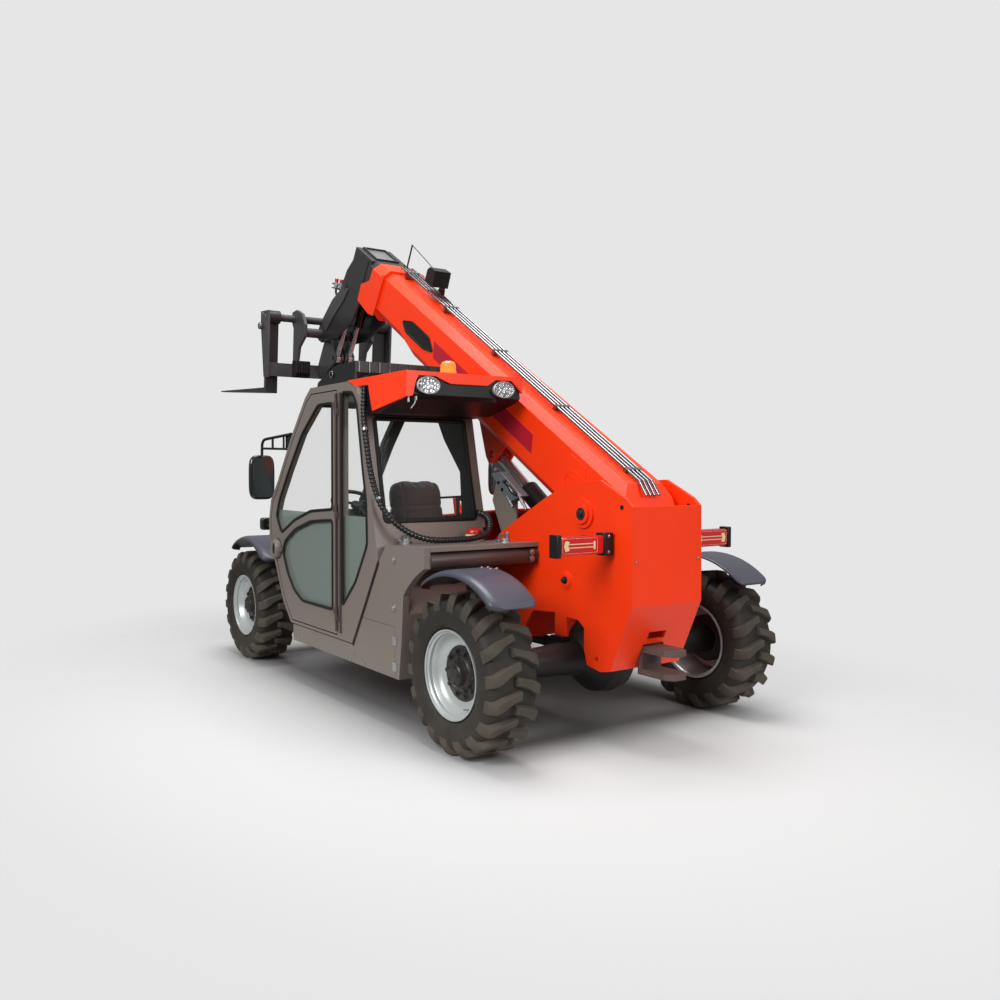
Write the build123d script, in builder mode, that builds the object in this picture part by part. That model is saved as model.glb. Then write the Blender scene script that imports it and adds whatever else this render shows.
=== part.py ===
"""Compact telehandler: a crab-cabbed carrier with a two-stage boom, fork carriage and fixed rear axle.

Frame: X to the machine's left, Y to the rear, Z up, millimetres, origin on the floor at the
centre of the parked machine's outline. Side profiles are drawn in stations: y counted rearward
from the middle of the wheelbase, z from the floor.
"""
import os
from math import cos, pi, radians, sin, tan

from build123d import *

os.makedirs("parts", exist_ok=True)

# ---- driving dimensions ----
mid_y = 555                 # middle of the wheelbase, behind the frame's origin
wheelbase = 2727
track = 1742
tyre_radius = 402           # over the lugs
tyre_width = 292
lug_height = 30
lug_count = 18              # per side of each tyre
rim_radius = 210            # bead seat
rim_width = 258
rim_disc_x = 45             # disc's outer face, from the wheel's centre plane
hub_radius = 96
spindle_radius = 40
kingpin_inset = 150         # kingpin axis inboard of the wheel's centre plane
kingpin_radius = 26
yoke_height = 170           # half height of the axle's fork at the kingpin
fit = 0.05                  # radial running fit of pins and rods
seat_gap = 0.3              # between pieces that seat on each other
bead_gap = 3.6              # the tyre is drawn with flat facets, so its bead stands off the rim

frame_half = 250            # outer faces of the two side plates
frame_plate = 20
front_y = -wheelbase / 2
rear_axle_y = wheelbase / 2
rear_y = rear_axle_y + 484.5           # back of the rear plate
pivot_y, pivot_z = rear_axle_y + 141.5, 1182           # boom pivot
pivot_radius = 35
pivot_boss, pivot_cap = 75, 52
base_y, base_z = rear_axle_y + 6.5, 823                # lift cylinder's lower pin
base_radius = 28
lug_y, lug_z = pivot_y - 1045, 1510                    # lift cylinder's upper pin, on the boom
boom_angle = 32.55          # parked, front end up
boom_half = 170
boom_wall = 10
boom_top = 232              # above the pivot, square to the boom
boom_belly = -144
boom_low = -108             # underside of the front stretch
boom_tail = -185            # along the boom from the pivot, forward positive
boom_ring = 2745
nose_plate = 12             # cheeks on the outer boom's nose
boom_nose = 2905
boss_proud = 4              # pads on the boom's sides
slide_gap = 6               # round the inner boom, filled by the wear pads
inner_tail = 320
inner_nose = 3000
head_half = 150
head_plate = 18
tip_a, tip_n = 3498, -616   # carriage pivot, along and square to the boom
tip_radius = 38
tilt_a, tilt_n = 3300, -120            # upper pin of the tilt cylinders
fork_angle = 4              # blades parked, tips up
carriage_half = 585
fork_x = carriage_half - 75
fork_width = 100
fork_thick = 45
fork_length = 1070

cab_left = 1000
cab_right = 230
cab_wall = 42
door_thick = 38
door_gap = 6
glass = 6
hinge_x, hinge_y = 1012, 176
skirt_low = 283
deck_inner = 560
fender_inner, fender_outer = 722, 1000
fender_radius = 535
fender_skin = 8
hood_inner, hood_outer = -262, -1000
hitch_half = 70
hood_hinge_z = 1200
hood_hinges = [(-400, 1090, 700), (600, 1160, 850)]    # station, hood's top there, frame's top there
outrigger_z = 393.7                     # tops of the frame's arms, under the cab's floor

axle_z = tyre_radius
hub_x = track / 2
kingpin_x = hub_x - kingpin_inset


# ---- drawing planes ----
def side(x):
    """Lengthwise plane at x: sketch x runs rearward, sketch y up, and extrusions go left."""
    return Plane(origin=(x, mid_y, 0), x_dir=(0, 1, 0), z_dir=(1, 0, 0))


def across(y):
    """Crosswise plane at station y: sketch x runs left, sketch y up, and extrusions go forward."""
    return Plane(origin=(0, mid_y + y, 0), x_dir=(1, 0, 0), z_dir=(0, -1, 0))


def level(z):
    """Horizontal plane: sketch x runs left, sketch y rearward by station, and extrusions go up."""
    return Plane(origin=(0, mid_y, z))


def along(x, y, z, angle):
    """Lengthwise plane tipped up by an angle: sketch x forward and up, extrusions go right."""
    c, s = cos(radians(angle)), sin(radians(angle))
    return Plane(origin=(x, mid_y + y, z), x_dir=(0, -c, s), z_dir=(-1, 0, 0))


def boom_side(x):
    return along(x, pivot_y, pivot_z, boom_angle)


def boom_cut(a):
    """Plane square to the boom at a: sketch x runs left, sketch y away from its underside."""
    c, s = cos(radians(boom_angle)), sin(radians(boom_angle))
    return Plane(origin=(0, mid_y + pivot_y - a * c, pivot_z + a * s), x_dir=(1, 0, 0), z_dir=(0, -c, s))


def boom_point(a, n):
    """Station and height of a point given along and square to the boom."""
    c, s = cos(radians(boom_angle)), sin(radians(boom_angle))
    return pivot_y - a * c + n * s, pivot_z + a * s + n * c


tip_y, tip_z = boom_point(tip_a, tip_n)


def carriage_side(x):
    return along(x, tip_y, tip_z, fork_angle)


# ---- shapes shared by several pieces ----
def slab(plane, outline, thickness, mode=Mode.ADD, both=False):
    """A plate: the closed outline pushed out of its plane."""
    with BuildSketch(plane) as face:
        with BuildLine():
            Polyline(*outline, close=True)
        make_face()
    extrude(face.sketch, amount=thickness, both=both, mode=mode)


def rod(plane, x, y, radius, length, mode=Mode.ADD, both=False):
    """A round bar, boss or bore standing on a plane."""
    with BuildSketch(plane) as face:
        with Locations((x, y)):
            Circle(radius)
    extrude(face.sketch, amount=length, both=both, mode=mode)


def block(plane, x0, x1, y0, y1, depth, mode=Mode.ADD):
    """A rectangular bar from two corners of its section."""
    slab(plane, [(x0, y0), (x1, y0), (x1, y1), (x0, y1)], depth, mode)


def bent_rod(points, radius):
    """A bent round bar: a slightly proud ball at each bend, then straight lengths between points."""
    for bend in points[1:-1]:
        with Locations(bend):
            Sphere(1.1 * radius)
    for start, end in zip(points, points[1:]):
        run = Vector(*end) - Vector(*start)
        with BuildSketch(Plane(origin=start, z_dir=run)) as face:
            Circle(radius)
        extrude(face.sketch, amount=run.length)


def save(piece, node):
    piece.part.label = node
    export_step(piece.part, f"parts/{node}.step")


# ---- wheels ----
half_tyre = tyre_width / 2
tread_radius = tyre_radius - lug_height
bead_radius = rim_radius + bead_gap
tyre_profile = [                        # across from the centre plane, radius
    (-rim_width / 2 + 17, bead_radius), (-rim_width / 2 + 9, 230), (-half_tyre, 266), (-half_tyre, 322),
    (-half_tyre + 34, tread_radius), (half_tyre - 34, tread_radius), (half_tyre, 322), (half_tyre, 266),
    (rim_width / 2 - 9, 230), (rim_width / 2 - 17, bead_radius)]
lug_outline = [                         # across, round the tread; one bar from centre to shoulder
    (-14, -37), (half_tyre + 2, -2), (half_tyre + 2, 37), (-14, -3)]
lug_top = tyre_radius - 0.35            # the lugs' corners touch the floor
lug_envelope = [
    (-30, 300), (-30, lug_top), (half_tyre - 26, lug_top), (half_tyre, 352), (half_tyre, 300)]
lug_step = 360 / lug_count


def wheel_plane(turn):
    """Plane through the wheel's axis, turned about it: sketch x across, sketch y outward."""
    return Plane.XY.rotated((turn, 0, 0))


with BuildPart() as tyre:
    for i in range(lug_count):
        with BuildPart(mode=Mode.PRIVATE) as segment:
            for turn in ((i - 0.5) * lug_step, (i + 0.5) * lug_step):
                with BuildSketch(wheel_plane(turn)):
                    with BuildLine():
                        Polyline(*tyre_profile, close=True)
                    make_face()
            loft(ruled=True)
        add(segment.part)
    for hand, lead in ((1, 0), (-1, lug_step / 2)):
        with BuildPart(mode=Mode.PRIVATE) as lug:
            slab(Plane.XZ.offset(-100), [(hand * x, z) for x, z in lug_envelope], 200)
            slab(Plane.XY.offset(300), [(hand * x, y) for x, y in lug_outline], lug_top, mode=Mode.INTERSECT)
        for i in range(lug_count):
            add(lug.part.rotate(Axis.X, lead + i * lug_step))

rim_edge = rim_width / 2
rim_profile = [                         # across, radius: flange, barrel, flange, dish, disc, barrel
    (-rim_edge, 224), (-rim_edge + 8, 224), (-rim_edge + 16, rim_radius), (rim_edge - 16, rim_radius),
    (rim_edge - 8, 224), (rim_edge, 224), (rim_edge, 216), (rim_edge - 14, 200), (78, 188), (58, 168),
    (rim_disc_x, 130), (rim_disc_x, hub_radius), (rim_disc_x + 22, 88), (rim_disc_x + 28, 62),
    (rim_disc_x + 60, 54), (rim_disc_x + 66, 40), (rim_disc_x + 66, 0), (rim_disc_x - 15, 0),
    (rim_disc_x - 15, spindle_radius + fit), (-20, spindle_radius + fit), (-20, 84), (rim_disc_x - 12, 92),
    (rim_disc_x - 12, 140), (44, 180), (66, 200), (-rim_edge + 16, 200), (-rim_edge, 214)]

with BuildPart() as wheel:
    with BuildSketch(Plane.XY):
        with BuildLine():
            Polyline(*rim_profile, close=True)
        make_face()
    revolve(axis=Axis.X)

corners = [                             # name, hand, station
    ("front_left", 1, front_y), ("front_right", -1, front_y),
    ("rear_left", 1, rear_axle_y), ("rear_right", -1, rear_axle_y)]

for name, hand, y in corners:
    place = Location((hand * hub_x, mid_y + y, axle_z))
    for kind, shape in (("tyre", tyre.part), ("wheel", wheel.part)):
        with BuildPart() as turned:
            add(shape if hand > 0 else mirror(shape, about=Plane.YZ))
        turned.part.label = f"{kind}_{name}"
        export_step(turned.part.moved(place), f"parts/{kind}_{name}.step")


# ---- axles, knuckles and mudguards ----
bowl_radius = 206
shaft_start = 190           # propshaft's rear end, inside the rear bowl
shaft_radius = 32
flange_radius = 44
flange_depth = 70
trumpet = [                             # from the centre, radius
    (0, bowl_radius), (70, 196), (130, 150), (190, 96), (kingpin_x - 130, 66)]


def beam(y, reach, end_radius):
    """Differential bowl and tapering tubes, turned about the axle's centre line."""
    outline = trumpet + [(reach, end_radius), (reach, 0)]
    mirrored = [(-x, r) for x, r in reversed(outline[1:])]
    with BuildSketch(Plane(origin=(0, mid_y + y, axle_z), x_dir=(1, 0, 0), z_dir=(0, -1, 0))) as face:
        with BuildLine():
            Polyline(*(mirrored + outline), close=True)
        make_face()
    revolve(face.sketch, axis=Axis((0, mid_y + y, axle_z), (1, 0, 0)))


saddle_z = 520              # top of the axle's seats under the frame
yoke_inner = yoke_height - 34

with BuildPart() as front_axle:
    beam(front_y, kingpin_x - 60, 66)
    for hand in (1, -1):
        yoke = [                        # across, height over the axle
            (kingpin_x - 90, -110), (kingpin_x - 46, -yoke_height), (kingpin_x + 46, -yoke_height),
            (kingpin_x + 46, -yoke_inner), (kingpin_x - 58, -yoke_inner), (kingpin_x - 58, yoke_inner),
            (kingpin_x + 46, yoke_inner), (kingpin_x + 46, yoke_height), (kingpin_x - 46, yoke_height),
            (kingpin_x - 90, 110)]
        slab(across(front_y + 42), [(hand * x, axle_z + z) for x, z in yoke], 84)
        rod(level(axle_z - yoke_height - 1), hand * kingpin_x, front_y, kingpin_radius + fit,
            2 * yoke_height + 2, mode=Mode.SUBTRACT)
        block(across(front_y + 60), hand * frame_half - 30, hand * frame_half + 30, axle_z + 40,
              saddle_z, 120)
save(front_axle, "front_axle")

with BuildPart() as rear_axle:
    beam(rear_axle_y, hub_x - 20 - seat_gap, 84)
    rod(side(-hub_x - 28), rear_axle_y, axle_z, spindle_radius, 2 * hub_x + 56)
    for hand in (1, -1):
        block(across(rear_axle_y + 8), hand * frame_half - 30, hand * frame_half + 30, axle_z + 40,
              saddle_z, 90)
        block(across(rear_axle_y + 30), hand * 692 - 24, hand * 692 + 24, axle_z + 40, axle_z + 100, 60)
    rod(across(rear_axle_y - shaft_start), 0, axle_z, shaft_radius,
        wheelbase - shaft_start - bowl_radius - seat_gap)
    for y in (rear_axle_y - shaft_start, front_y + bowl_radius + flange_depth + 4):
        rod(across(y), 0, axle_z, flange_radius, flange_depth)
save(rear_axle, "rear_axle")

cap_top = axle_z + yoke_height + 14
arm_reach = 150             # steering arm, behind the kingpin
for name, hand, y in corners[:2]:
    with BuildPart() as knuckle:
        rod(level(axle_z - yoke_inner + seat_gap), hand * kingpin_x, y, 44, 2 * (yoke_inner - seat_gap))
        carrier = sorted((hand * kingpin_x, hand * (hub_x - 20 - seat_gap)))
        rod(side(carrier[0]), y, axle_z, 84, carrier[1] - carrier[0])
        stub = sorted((hand * kingpin_x, hand * (hub_x + 28)))
        rod(side(stub[0]), y, axle_z, spindle_radius, stub[1] - stub[0])
        rod(level(axle_z - yoke_height - 14), hand * kingpin_x, y, kingpin_radius, 2 * yoke_height + 28)
        for z in (axle_z - yoke_height - 14, axle_z + yoke_height + seat_gap):
            rod(level(z), hand * kingpin_x, y, 42, 14 - seat_gap)
        block(level(axle_z - 104), hand * kingpin_x - 20, hand * kingpin_x + 20, y, y + arm_reach, 26)
    save(knuckle, f"knuckle_{name}")

fender_under = fender_radius - fender_skin
strut_x = 694                           # bracket's upright, inboard of the tyre
for name, hand, y in corners:
    with BuildPart() as fender:
        low, high = sorted((hand * fender_inner, hand * fender_outer))
        with BuildSketch(side(low)):
            with BuildLine():
                skin = CenterArc((y, axle_z), fender_radius, 38, 90)
                lining = CenterArc((y, axle_z), fender_under, 38, 90)
                Line(skin @ 0, lining @ 0)
                Line(skin @ 1, lining @ 1)
            make_face()
        extrude(amount=high - low)
        steered = name.startswith("front")
        foot = cap_top if steered else axle_z + 100
        flange = axle_z + fender_under - 12
        block(level(foot), hand * strut_x - 9, hand * strut_x + 9, y - 28, y + 28, flange - foot)
        low, high = sorted((hand * (strut_x - 9), hand * (fender_inner + 90)))
        block(level(flange), low, high, y - 28, y + 28, 10)
        low, high = sorted((hand * (fender_inner + 2), hand * (fender_inner + 90)))
        block(level(flange + 10), low, high, y - 28, y + 28, 6)
        if steered:
            low, high = sorted((hand * (strut_x - 9), hand * (kingpin_x + 20)))
            block(level(foot), low, high, y - 28, y + 28, 12)
    save(fender, f"fender_{name}")


# ---- main frame: two side plates, what ties them, and what they carry ----
tail_edge = [                           # behind the rear axle, height
    (33.5, 1346), (257.5, 1359), (438.5, 1267), (479.5, 1229), (484.5, 736), (338.5, 393), (267.5, 379),
    (171.5, 397), (148.5, 472), (147.5, 587), (101.5, 622), (7.5, 625), (8.5, 520), (-79.5, 520), (-80.5, 640),
    (-265.5, 626), (-403.5, 430)]
nose_edge = [                           # behind the front axle, height
    (283.5, 430), (163.5, 520), (-106.5, 520), (-126.5, 560), (-126.5, 700), (-76.5, 745)]
tower_edge = [(-569.5, 1040), (-384.5, 1143), (-167.5, 1257)]           # behind the rear axle, height
side_outline = ([(rear_axle_y + y, z) for y, z in tail_edge] + [(front_y + y, z) for y, z in nose_edge]
                + [(430, 745)] + [(rear_axle_y + y, z) for y, z in tower_edge])
cross_bars = [                          # station of rear face, low, high, depth
    (front_y - 26.5, 625, 700, 60), (front_y + 283.5, 450, 720, 40), (-500, 450, 720, 30),
    (200, 450, 720, 30), (rear_axle_y - 423.5, 440, 700, 40), (rear_axle_y - 73.5, 645, 700, 60)]
inner = frame_half - frame_plate
boss_depth, cap_depth = 12, 12
base_boss, base_cap = 6, 4

for name, face in (("left", inner), ("right", -frame_half)):
    outside = frame_half if name == "left" else -frame_half - boss_depth
    base_outside = frame_half if name == "left" else -frame_half - base_boss
    with BuildPart() as side_plate:
        slab(side(face), side_outline, frame_plate)
        rod(side(outside), pivot_y, pivot_z, pivot_boss, boss_depth)
        rod(side(base_outside), base_y, base_z, base_radius + 18, base_boss)
        for y, z, radius in ((pivot_y, pivot_z, pivot_radius), (base_y, base_z, base_radius)):
            rod(side(-frame_half - 30), y, z, radius + fit, 2 * frame_half + 60, mode=Mode.SUBTRACT)
        rod(side(face - 1), rear_y - 246, 440, 13, frame_plate + 2, mode=Mode.SUBTRACT)
    save(side_plate, f"frame_{name}")

with BuildPart() as cross_members:
    for y, low, high, depth in cross_bars:
        block(across(y), -inner, inner, low, high, depth)
save(cross_members, "cross_members")

hitch_low, hitch_high = 412, 492        # hitch's shank, through the rear plate's foot
with BuildPart() as rear_plate:
    slab(side(-inner), [(rear_y, 736), (rear_y - 5, 1229), (rear_y - 25, 1229), (rear_y - 22, 742),
                        (rear_y - 158, hitch_low), (rear_y - 228, hitch_low), (rear_y - 228, hitch_low - 16),
                        (rear_y - 146, 393)], 2 * inner)
    block(across(rear_y + 2), -62, 62, 548, 588, 240, mode=Mode.SUBTRACT)
    block(across(rear_y - 48), -hitch_half - 5, hitch_half + 5, hitch_low, hitch_high + 30, 200,
          mode=Mode.SUBTRACT)
save(rear_plate, "rear_plate")

with BuildPart() as boom_pins:
    half = frame_half + boss_depth
    rod(side(-half - cap_depth), pivot_y, pivot_z, pivot_radius, 2 * (half + cap_depth))
    for x in (-half - cap_depth, half):
        rod(side(x), pivot_y, pivot_z, pivot_cap, cap_depth)
    half = frame_half + base_boss
    rod(side(-half - base_cap), base_y, base_z, base_radius, 2 * (half + base_cap))
    for x in (-half - base_cap, half):
        rod(side(x), base_y, base_z, base_radius + 8, base_cap)
save(boom_pins, "boom_pins")

arm_low, arm_depth = 340, 70
frame_low = 430                         # underside of the side plates
pan_thick = 10
post_depth = 30
with BuildPart() as frame_brackets:
    for y in (-300, 60, 420):
        block(across(y), inner, deck_inner - seat_gap, arm_low, outrigger_z, arm_depth)
        block(across(y), inner, frame_half, arm_low, frame_low, arm_depth)
    block(level(frame_low), hood_outer + 60, -frame_half, -800, 850, pan_thick)
    for y, top, foot in hood_hinges:
        slab(across(y + 52), [(hood_inner + 1, foot), (-frame_half, foot), (-frame_half, hood_hinge_z),
                              (hood_inner + 1, hood_hinge_z)], post_depth)
        rod(across(y + 52), hood_inner, hood_hinge_z, 14, post_depth)
        rod(across(y + 52), hood_inner, hood_hinge_z, 8, 72)
save(frame_brackets, "frame_brackets")

jaw = [                                 # across, behind the rear plate
    (-hitch_half, -132), (-hitch_half, 42), (-40, 87), (40, 87), (hitch_half, 42), (hitch_half, -132)]
jaw_low, jaw_high, jaw_thick = 364, 481, 30
hitch_pin = 16
with BuildPart() as tow_hitch:
    for low in (jaw_low, jaw_high):
        slab(level(low), [(x, rear_y + y) for x, y in jaw], jaw_thick)
    block(level(jaw_low), -hitch_half, hitch_half, rear_y - 132, rear_y - 102, jaw_high + jaw_thick - jaw_low)
    block(level(hitch_low + seat_gap), -hitch_half, hitch_half, rear_y - 236, rear_y - 132,
          hitch_high - hitch_low)
    rod(level(jaw_low - 4), 0, rear_y + 37, hitch_pin, 160, mode=Mode.SUBTRACT)
save(tow_hitch, "tow_hitch")

with BuildPart() as engine_block:
    block(level(440), -900, -340, -350, 520, 460)
save(engine_block, "engine_block")


# ---- boom ----
def octagon(half, low, high, top_cut, low_cut):
    """Section of the boom: a box with its four long corners cut off."""
    return [(-half + low_cut, low), (half - low_cut, low), (half, low + low_cut), (half, high - top_cut),
            (half - top_cut, high), (-half + top_cut, high), (-half, high - top_cut), (-half, low + low_cut)]


top_cut, low_cut = 45, 62
boom_stations = [(boom_tail, boom_belly), (2150, boom_belly), (2330, boom_low), (boom_nose, boom_low)]
cavity = (boom_half - boom_wall, boom_low + boom_wall, boom_top - boom_wall, top_cut - 4, low_cut - 4)
pad_room = boom_half - boom_wall - slide_gap
inner_section = (pad_room, boom_low + boom_wall + slide_gap, boom_top - boom_wall - slide_gap,
                 top_cut - 6, low_cut - 6)

pad_section = (inner_section[0] + seat_gap, inner_section[1] - seat_gap, inner_section[2] + seat_gap,
               top_cut - 6, low_cut - 6)

nose_cheek = [                          # along, square
    (boom_ring - 20, boom_low), (boom_nose - 105, boom_low - 17), (3005, -105), (3015, 22), (boom_nose, 92),
    (boom_nose, boom_top - top_cut), (boom_ring - 20, boom_top - top_cut)]
side_pad = [(140, 90), (180, 56), (330, 56), (375, 100), (330, 166), (190, 160)]
lug_outline = [(180, 90), (-160, 310), (-60, -10), (-30, -55), (30, -55), (70, -10)]        # round the pin

with BuildPart() as boom_outer:
    for a, low in boom_stations:
        with BuildSketch(boom_cut(a)):
            with BuildLine():
                Polyline(*octagon(boom_half, low, boom_top, top_cut, low_cut), close=True)
            make_face()
    loft(ruled=True)
    slab(boom_cut(boom_ring - 30), octagon(boom_half + 16, boom_low - 30, boom_top + 18, top_cut, low_cut), 30)
    slab(boom_cut(220), octagon(*cavity), boom_nose, mode=Mode.SUBTRACT)
    for x in (44, -62):
        slab(side(x), [(lug_y + y, lug_z + z) for y, z in lug_outline], 18)
    slab(boom_cut(221), octagon(*cavity), boom_nose, mode=Mode.SUBTRACT)
    for start in (boom_nose - 190, boom_ring - 900):
        slab(boom_cut(start), octagon(*cavity), 160)
        slab(boom_cut(start - 1), octagon(*pad_section), 162, mode=Mode.SUBTRACT)
    rod(side(-62), lug_y, lug_z, 26, 124, mode=Mode.SUBTRACT)
    rod(side(-frame_half + frame_plate + 3), pivot_y, pivot_z, 72, 2 * (frame_half - frame_plate - 3))
    rod(side(-frame_half), pivot_y, pivot_z, pivot_radius + fit, 2 * frame_half, mode=Mode.SUBTRACT)
    for x in (boom_half + nose_plate, -boom_half):
        slab(boom_side(x), nose_cheek, nose_plate)
    for x in (boom_half + boss_proud, -boom_half + 1):
        slab(boom_side(x), side_pad, boss_proud + 1)
    slab(boom_side(boom_half + 1), [(boom_tail - 1, 150), (boom_tail - 1, boom_top + 1), (-70, boom_top + 1)],
         2 * boom_half + 2, mode=Mode.SUBTRACT)
save(boom_outer, "boom_outer")

pipe_radius = 8
pipe_xs = (-45, -15, 15, 45)
pipe_route = [                          # along, square
    (-150, 212), (-70, boom_top + 14), (2660, boom_top + 46), (2740, boom_top + 46)]
pipe_clamps = (40, 700, 1400, 2050, 2640)       # along the boom

with BuildPart() as boom_pipes:
    for a in pipe_clamps:
        height = 22 + 32 * a / 2640
        slab(boom_side(58), [(a - 12, boom_top + seat_gap), (a + 12, boom_top + seat_gap),
                             (a + 12, boom_top + height), (a - 12, boom_top + height)], 116)
    for x in pipe_xs:
        bent_rod([(x, mid_y + y, z) for y, z in (boom_point(a, n) for a, n in pipe_route)], pipe_radius)
save(boom_pipes, "boom_pipes")

with BuildPart() as boom_lamp:
    slab(boom_side(-70), [(2270, boom_top + seat_gap), (2390, boom_top + seat_gap), (2350, boom_top + 100),
                          (2310, boom_top + 100)], 6)
    slab(boom_side(55), [(2270, boom_top + 92), (2300, boom_top + 82), (2384, boom_top + 92),
                         (2392, boom_top + 170), (2370, boom_top + 196), (2290, boom_top + 200)], 131)
    slab(boom_side(-60), [(2850, boom_top + seat_gap), (2892, boom_top + seat_gap), (2892, boom_top + 8),
                          (2850, boom_top + 8)], 40)
    (foot_y, foot_z), (top_y, top_z) = boom_point(2870, boom_top + 4), boom_point(2888, boom_top + 181)
    stay_y, stay_z = boom_point(2384, boom_top + 150)
    bent_rod([(-80, mid_y + foot_y, foot_z), (-80, mid_y + top_y, top_z)], 6)
    bent_rod([(-80, mid_y + top_y, top_z - 4), (-40, mid_y + stay_y, stay_z)], 3)
save(boom_lamp, "boom_lamp")

with BuildPart() as boom_inner:
    slab(boom_cut(inner_tail), octagon(*inner_section), inner_nose - inner_tail)
    inside = (pad_room - 10, inner_section[1] + 10, inner_section[2] - 10, top_cut - 10, low_cut - 10)
    slab(boom_cut(inner_tail - 1), octagon(*inside), inner_nose - inner_tail - 40, mode=Mode.SUBTRACT)
save(boom_inner, "boom_inner")

cheek = [                               # along, square
    (inner_nose, -90), (inner_nose, 214), (3292, 214), (3292, 107), (3346, 4), (3374, -175), (3463, -299),
    (tip_a + 64, tip_n + 60), (tip_a + 66, tip_n - 20), (tip_a + 30, tip_n - 62), (tip_a - 36, tip_n - 60),
    (3250, -540), (3060, -300), (3031, -154)]

inner_cheek = [
    (3240, 100), (3292, 107), (3346, 4), (3374, -175), (3463, -299), (3562, -556), (3564, -636), (3528, -678),
    (3462, -676), (3400, -330), (3300, -190), (3270, 0)]

with BuildPart() as boom_head:
    for x in (head_half, -head_half + head_plate):
        slab(boom_side(x), cheek, head_plate)
    web = head_half - head_plate
    slab(boom_side(web), [(inner_nose, 202), (inner_nose, 214), (3292, 214), (3292, 107), (3346, 4),
                          (3374, -175), (3463, -299), (3490, -420), (3478, -420), (3451, -303),
                          (3362, -178), (3334, 8), (3280, 104), (3280, 202)], 2 * web)
    block(boom_cut(inner_nose), -web, web, -80, 202, 16)
    rod(boom_side(head_half + 8), tilt_a, tilt_n, 22, 2 * head_half + 16)
    rod(boom_side(head_half + 6), tip_a, tip_n, tip_radius + 22, head_plate + 6)
    rod(boom_side(-head_half + head_plate), tip_a, tip_n, tip_radius + 22, head_plate + 6)
    for x in (112, -100):
        slab(boom_side(x), inner_cheek, 12)
    for x in (100, -88):
        slab(boom_side(x), [(3030, 200), (3280, 200), (3280, 226), (3030, 226)], 12)
    for a in (3030, 3268):
        slab(boom_side(88), [(a, 200), (a + 12, 200), (a + 12, 226), (a, 226)], 176)
    slab(boom_side(70), [(3355, -130), (3440, -130), (3440, -142), (3358, -150)], 140)
    coupler_base = boom_point(3410, -132)
    coupler_plane = Plane(origin=(0, mid_y + coupler_base[0], coupler_base[1]), x_dir=(1, 0, 0),
                          z_dir=(0, 0.2, 0.98))
    for x in (-32, 32):
        rod(coupler_plane, x, 0, 17, 40)
        rod(coupler_plane, x, 0, 12, 78)
    rod(boom_side(head_half + 20), tip_a, tip_n, tip_radius + fit, 2 * head_half + 40, mode=Mode.SUBTRACT)
save(boom_head, "boom_head")


# ---- cylinders ----
def cylinder_plane(y, z, to_y, to_z):
    """Plane at a pin, square to the line towards another point; extrusions run along that line."""
    return Plane(origin=(0, mid_y + y, z), x_dir=(1, 0, 0), z_dir=(0, to_y - y, to_z - z))


def distance(y, z, to_y, to_z):
    return ((to_y - y) ** 2 + (to_z - z) ** 2) ** 0.5


lift_length = distance(base_y, base_z, lug_y, lug_z)
lift_plane = cylinder_plane(base_y, base_z, lug_y, lug_z)
lift_barrel_end = 777

with BuildPart() as lift_barrel:
    rod(lift_plane.offset(40), 0, 0, 62, lift_barrel_end - 40)
    rod(side(-42), base_y, base_z, 55, 84)
    rod(lift_plane.offset(150), 0, 0, 48, lift_barrel_end - 190, mode=Mode.SUBTRACT)
    rod(lift_plane.offset(150), 0, 0, 34 + fit, lift_barrel_end, mode=Mode.SUBTRACT)
    rod(side(-50), base_y, base_z, 28 + fit, 100, mode=Mode.SUBTRACT)
save(lift_barrel, "lift_barrel")

with BuildPart() as lift_rod:
    rod(lift_plane.offset(400), 0, 0, 34, lift_length - 430)
    rod(side(-40), lug_y, lug_z, 48, 80)
    rod(side(-50), lug_y, lug_z, 26, 100, mode=Mode.SUBTRACT)
save(lift_rod, "lift_rod")

tilt_y, tilt_z = boom_point(tilt_a, tilt_n)
eye_f, eye_u = -115, -200              # lower pin of the tilt cylinders, in the carriage's axes
eye_c, eye_s = cos(radians(fork_angle)), sin(radians(fork_angle))
eye_y, eye_z = tip_y - eye_f * eye_c + eye_u * eye_s, tip_z + eye_f * eye_s + eye_u * eye_c
tilt_plane = cylinder_plane(tilt_y, tilt_z, eye_y, eye_z)
tilt_length = distance(tilt_y, tilt_z, eye_y, eye_z)
tilt_x = 55

with BuildPart() as tilt_barrels:
    for x in (-tilt_x, tilt_x):
        rod(tilt_plane.offset(26), x, 0, 38, 290)
        rod(side(x - 20), tilt_y, tilt_z, 38, 40)
        rod(tilt_plane.offset(60), x, 0, 20 + fit, 300, mode=Mode.SUBTRACT)
        rod(side(x - 30), tilt_y, tilt_z, 22 + fit, 60, mode=Mode.SUBTRACT)
save(tilt_barrels, "tilt_barrels")

with BuildPart() as tilt_rods:
    for x in (-tilt_x, tilt_x):
        rod(tilt_plane.offset(220), x, 0, 20, tilt_length - 246)
        rod(side(x - 17), eye_y, eye_z, 34, 34)
        rod(side(x - 30), eye_y, eye_z, 20, 60, mode=Mode.SUBTRACT)
save(tilt_rods, "tilt_rods")


# ---- carriage and forks ----
shaft_f, shaft_u = 165, 118
rail_front = 170
ear_outline = [
    (eye_f - 34, eye_u - 10), (eye_f - 10, eye_u - 36), (rail_front - 50, -365), (rail_front, -365),
    (rail_front, -255), (62, -60), (44, 40), (-44, 40), (-50, -44), (eye_f - 34, eye_u + 24)]
coupler_outline = [
    (-50, -30), (-50, 60), (10, 150), (120, 190), (200, 175), (215, 110), (rail_front, 40),
    (rail_front, -365), (rail_front - 50, -365), (60, -120)]

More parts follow.
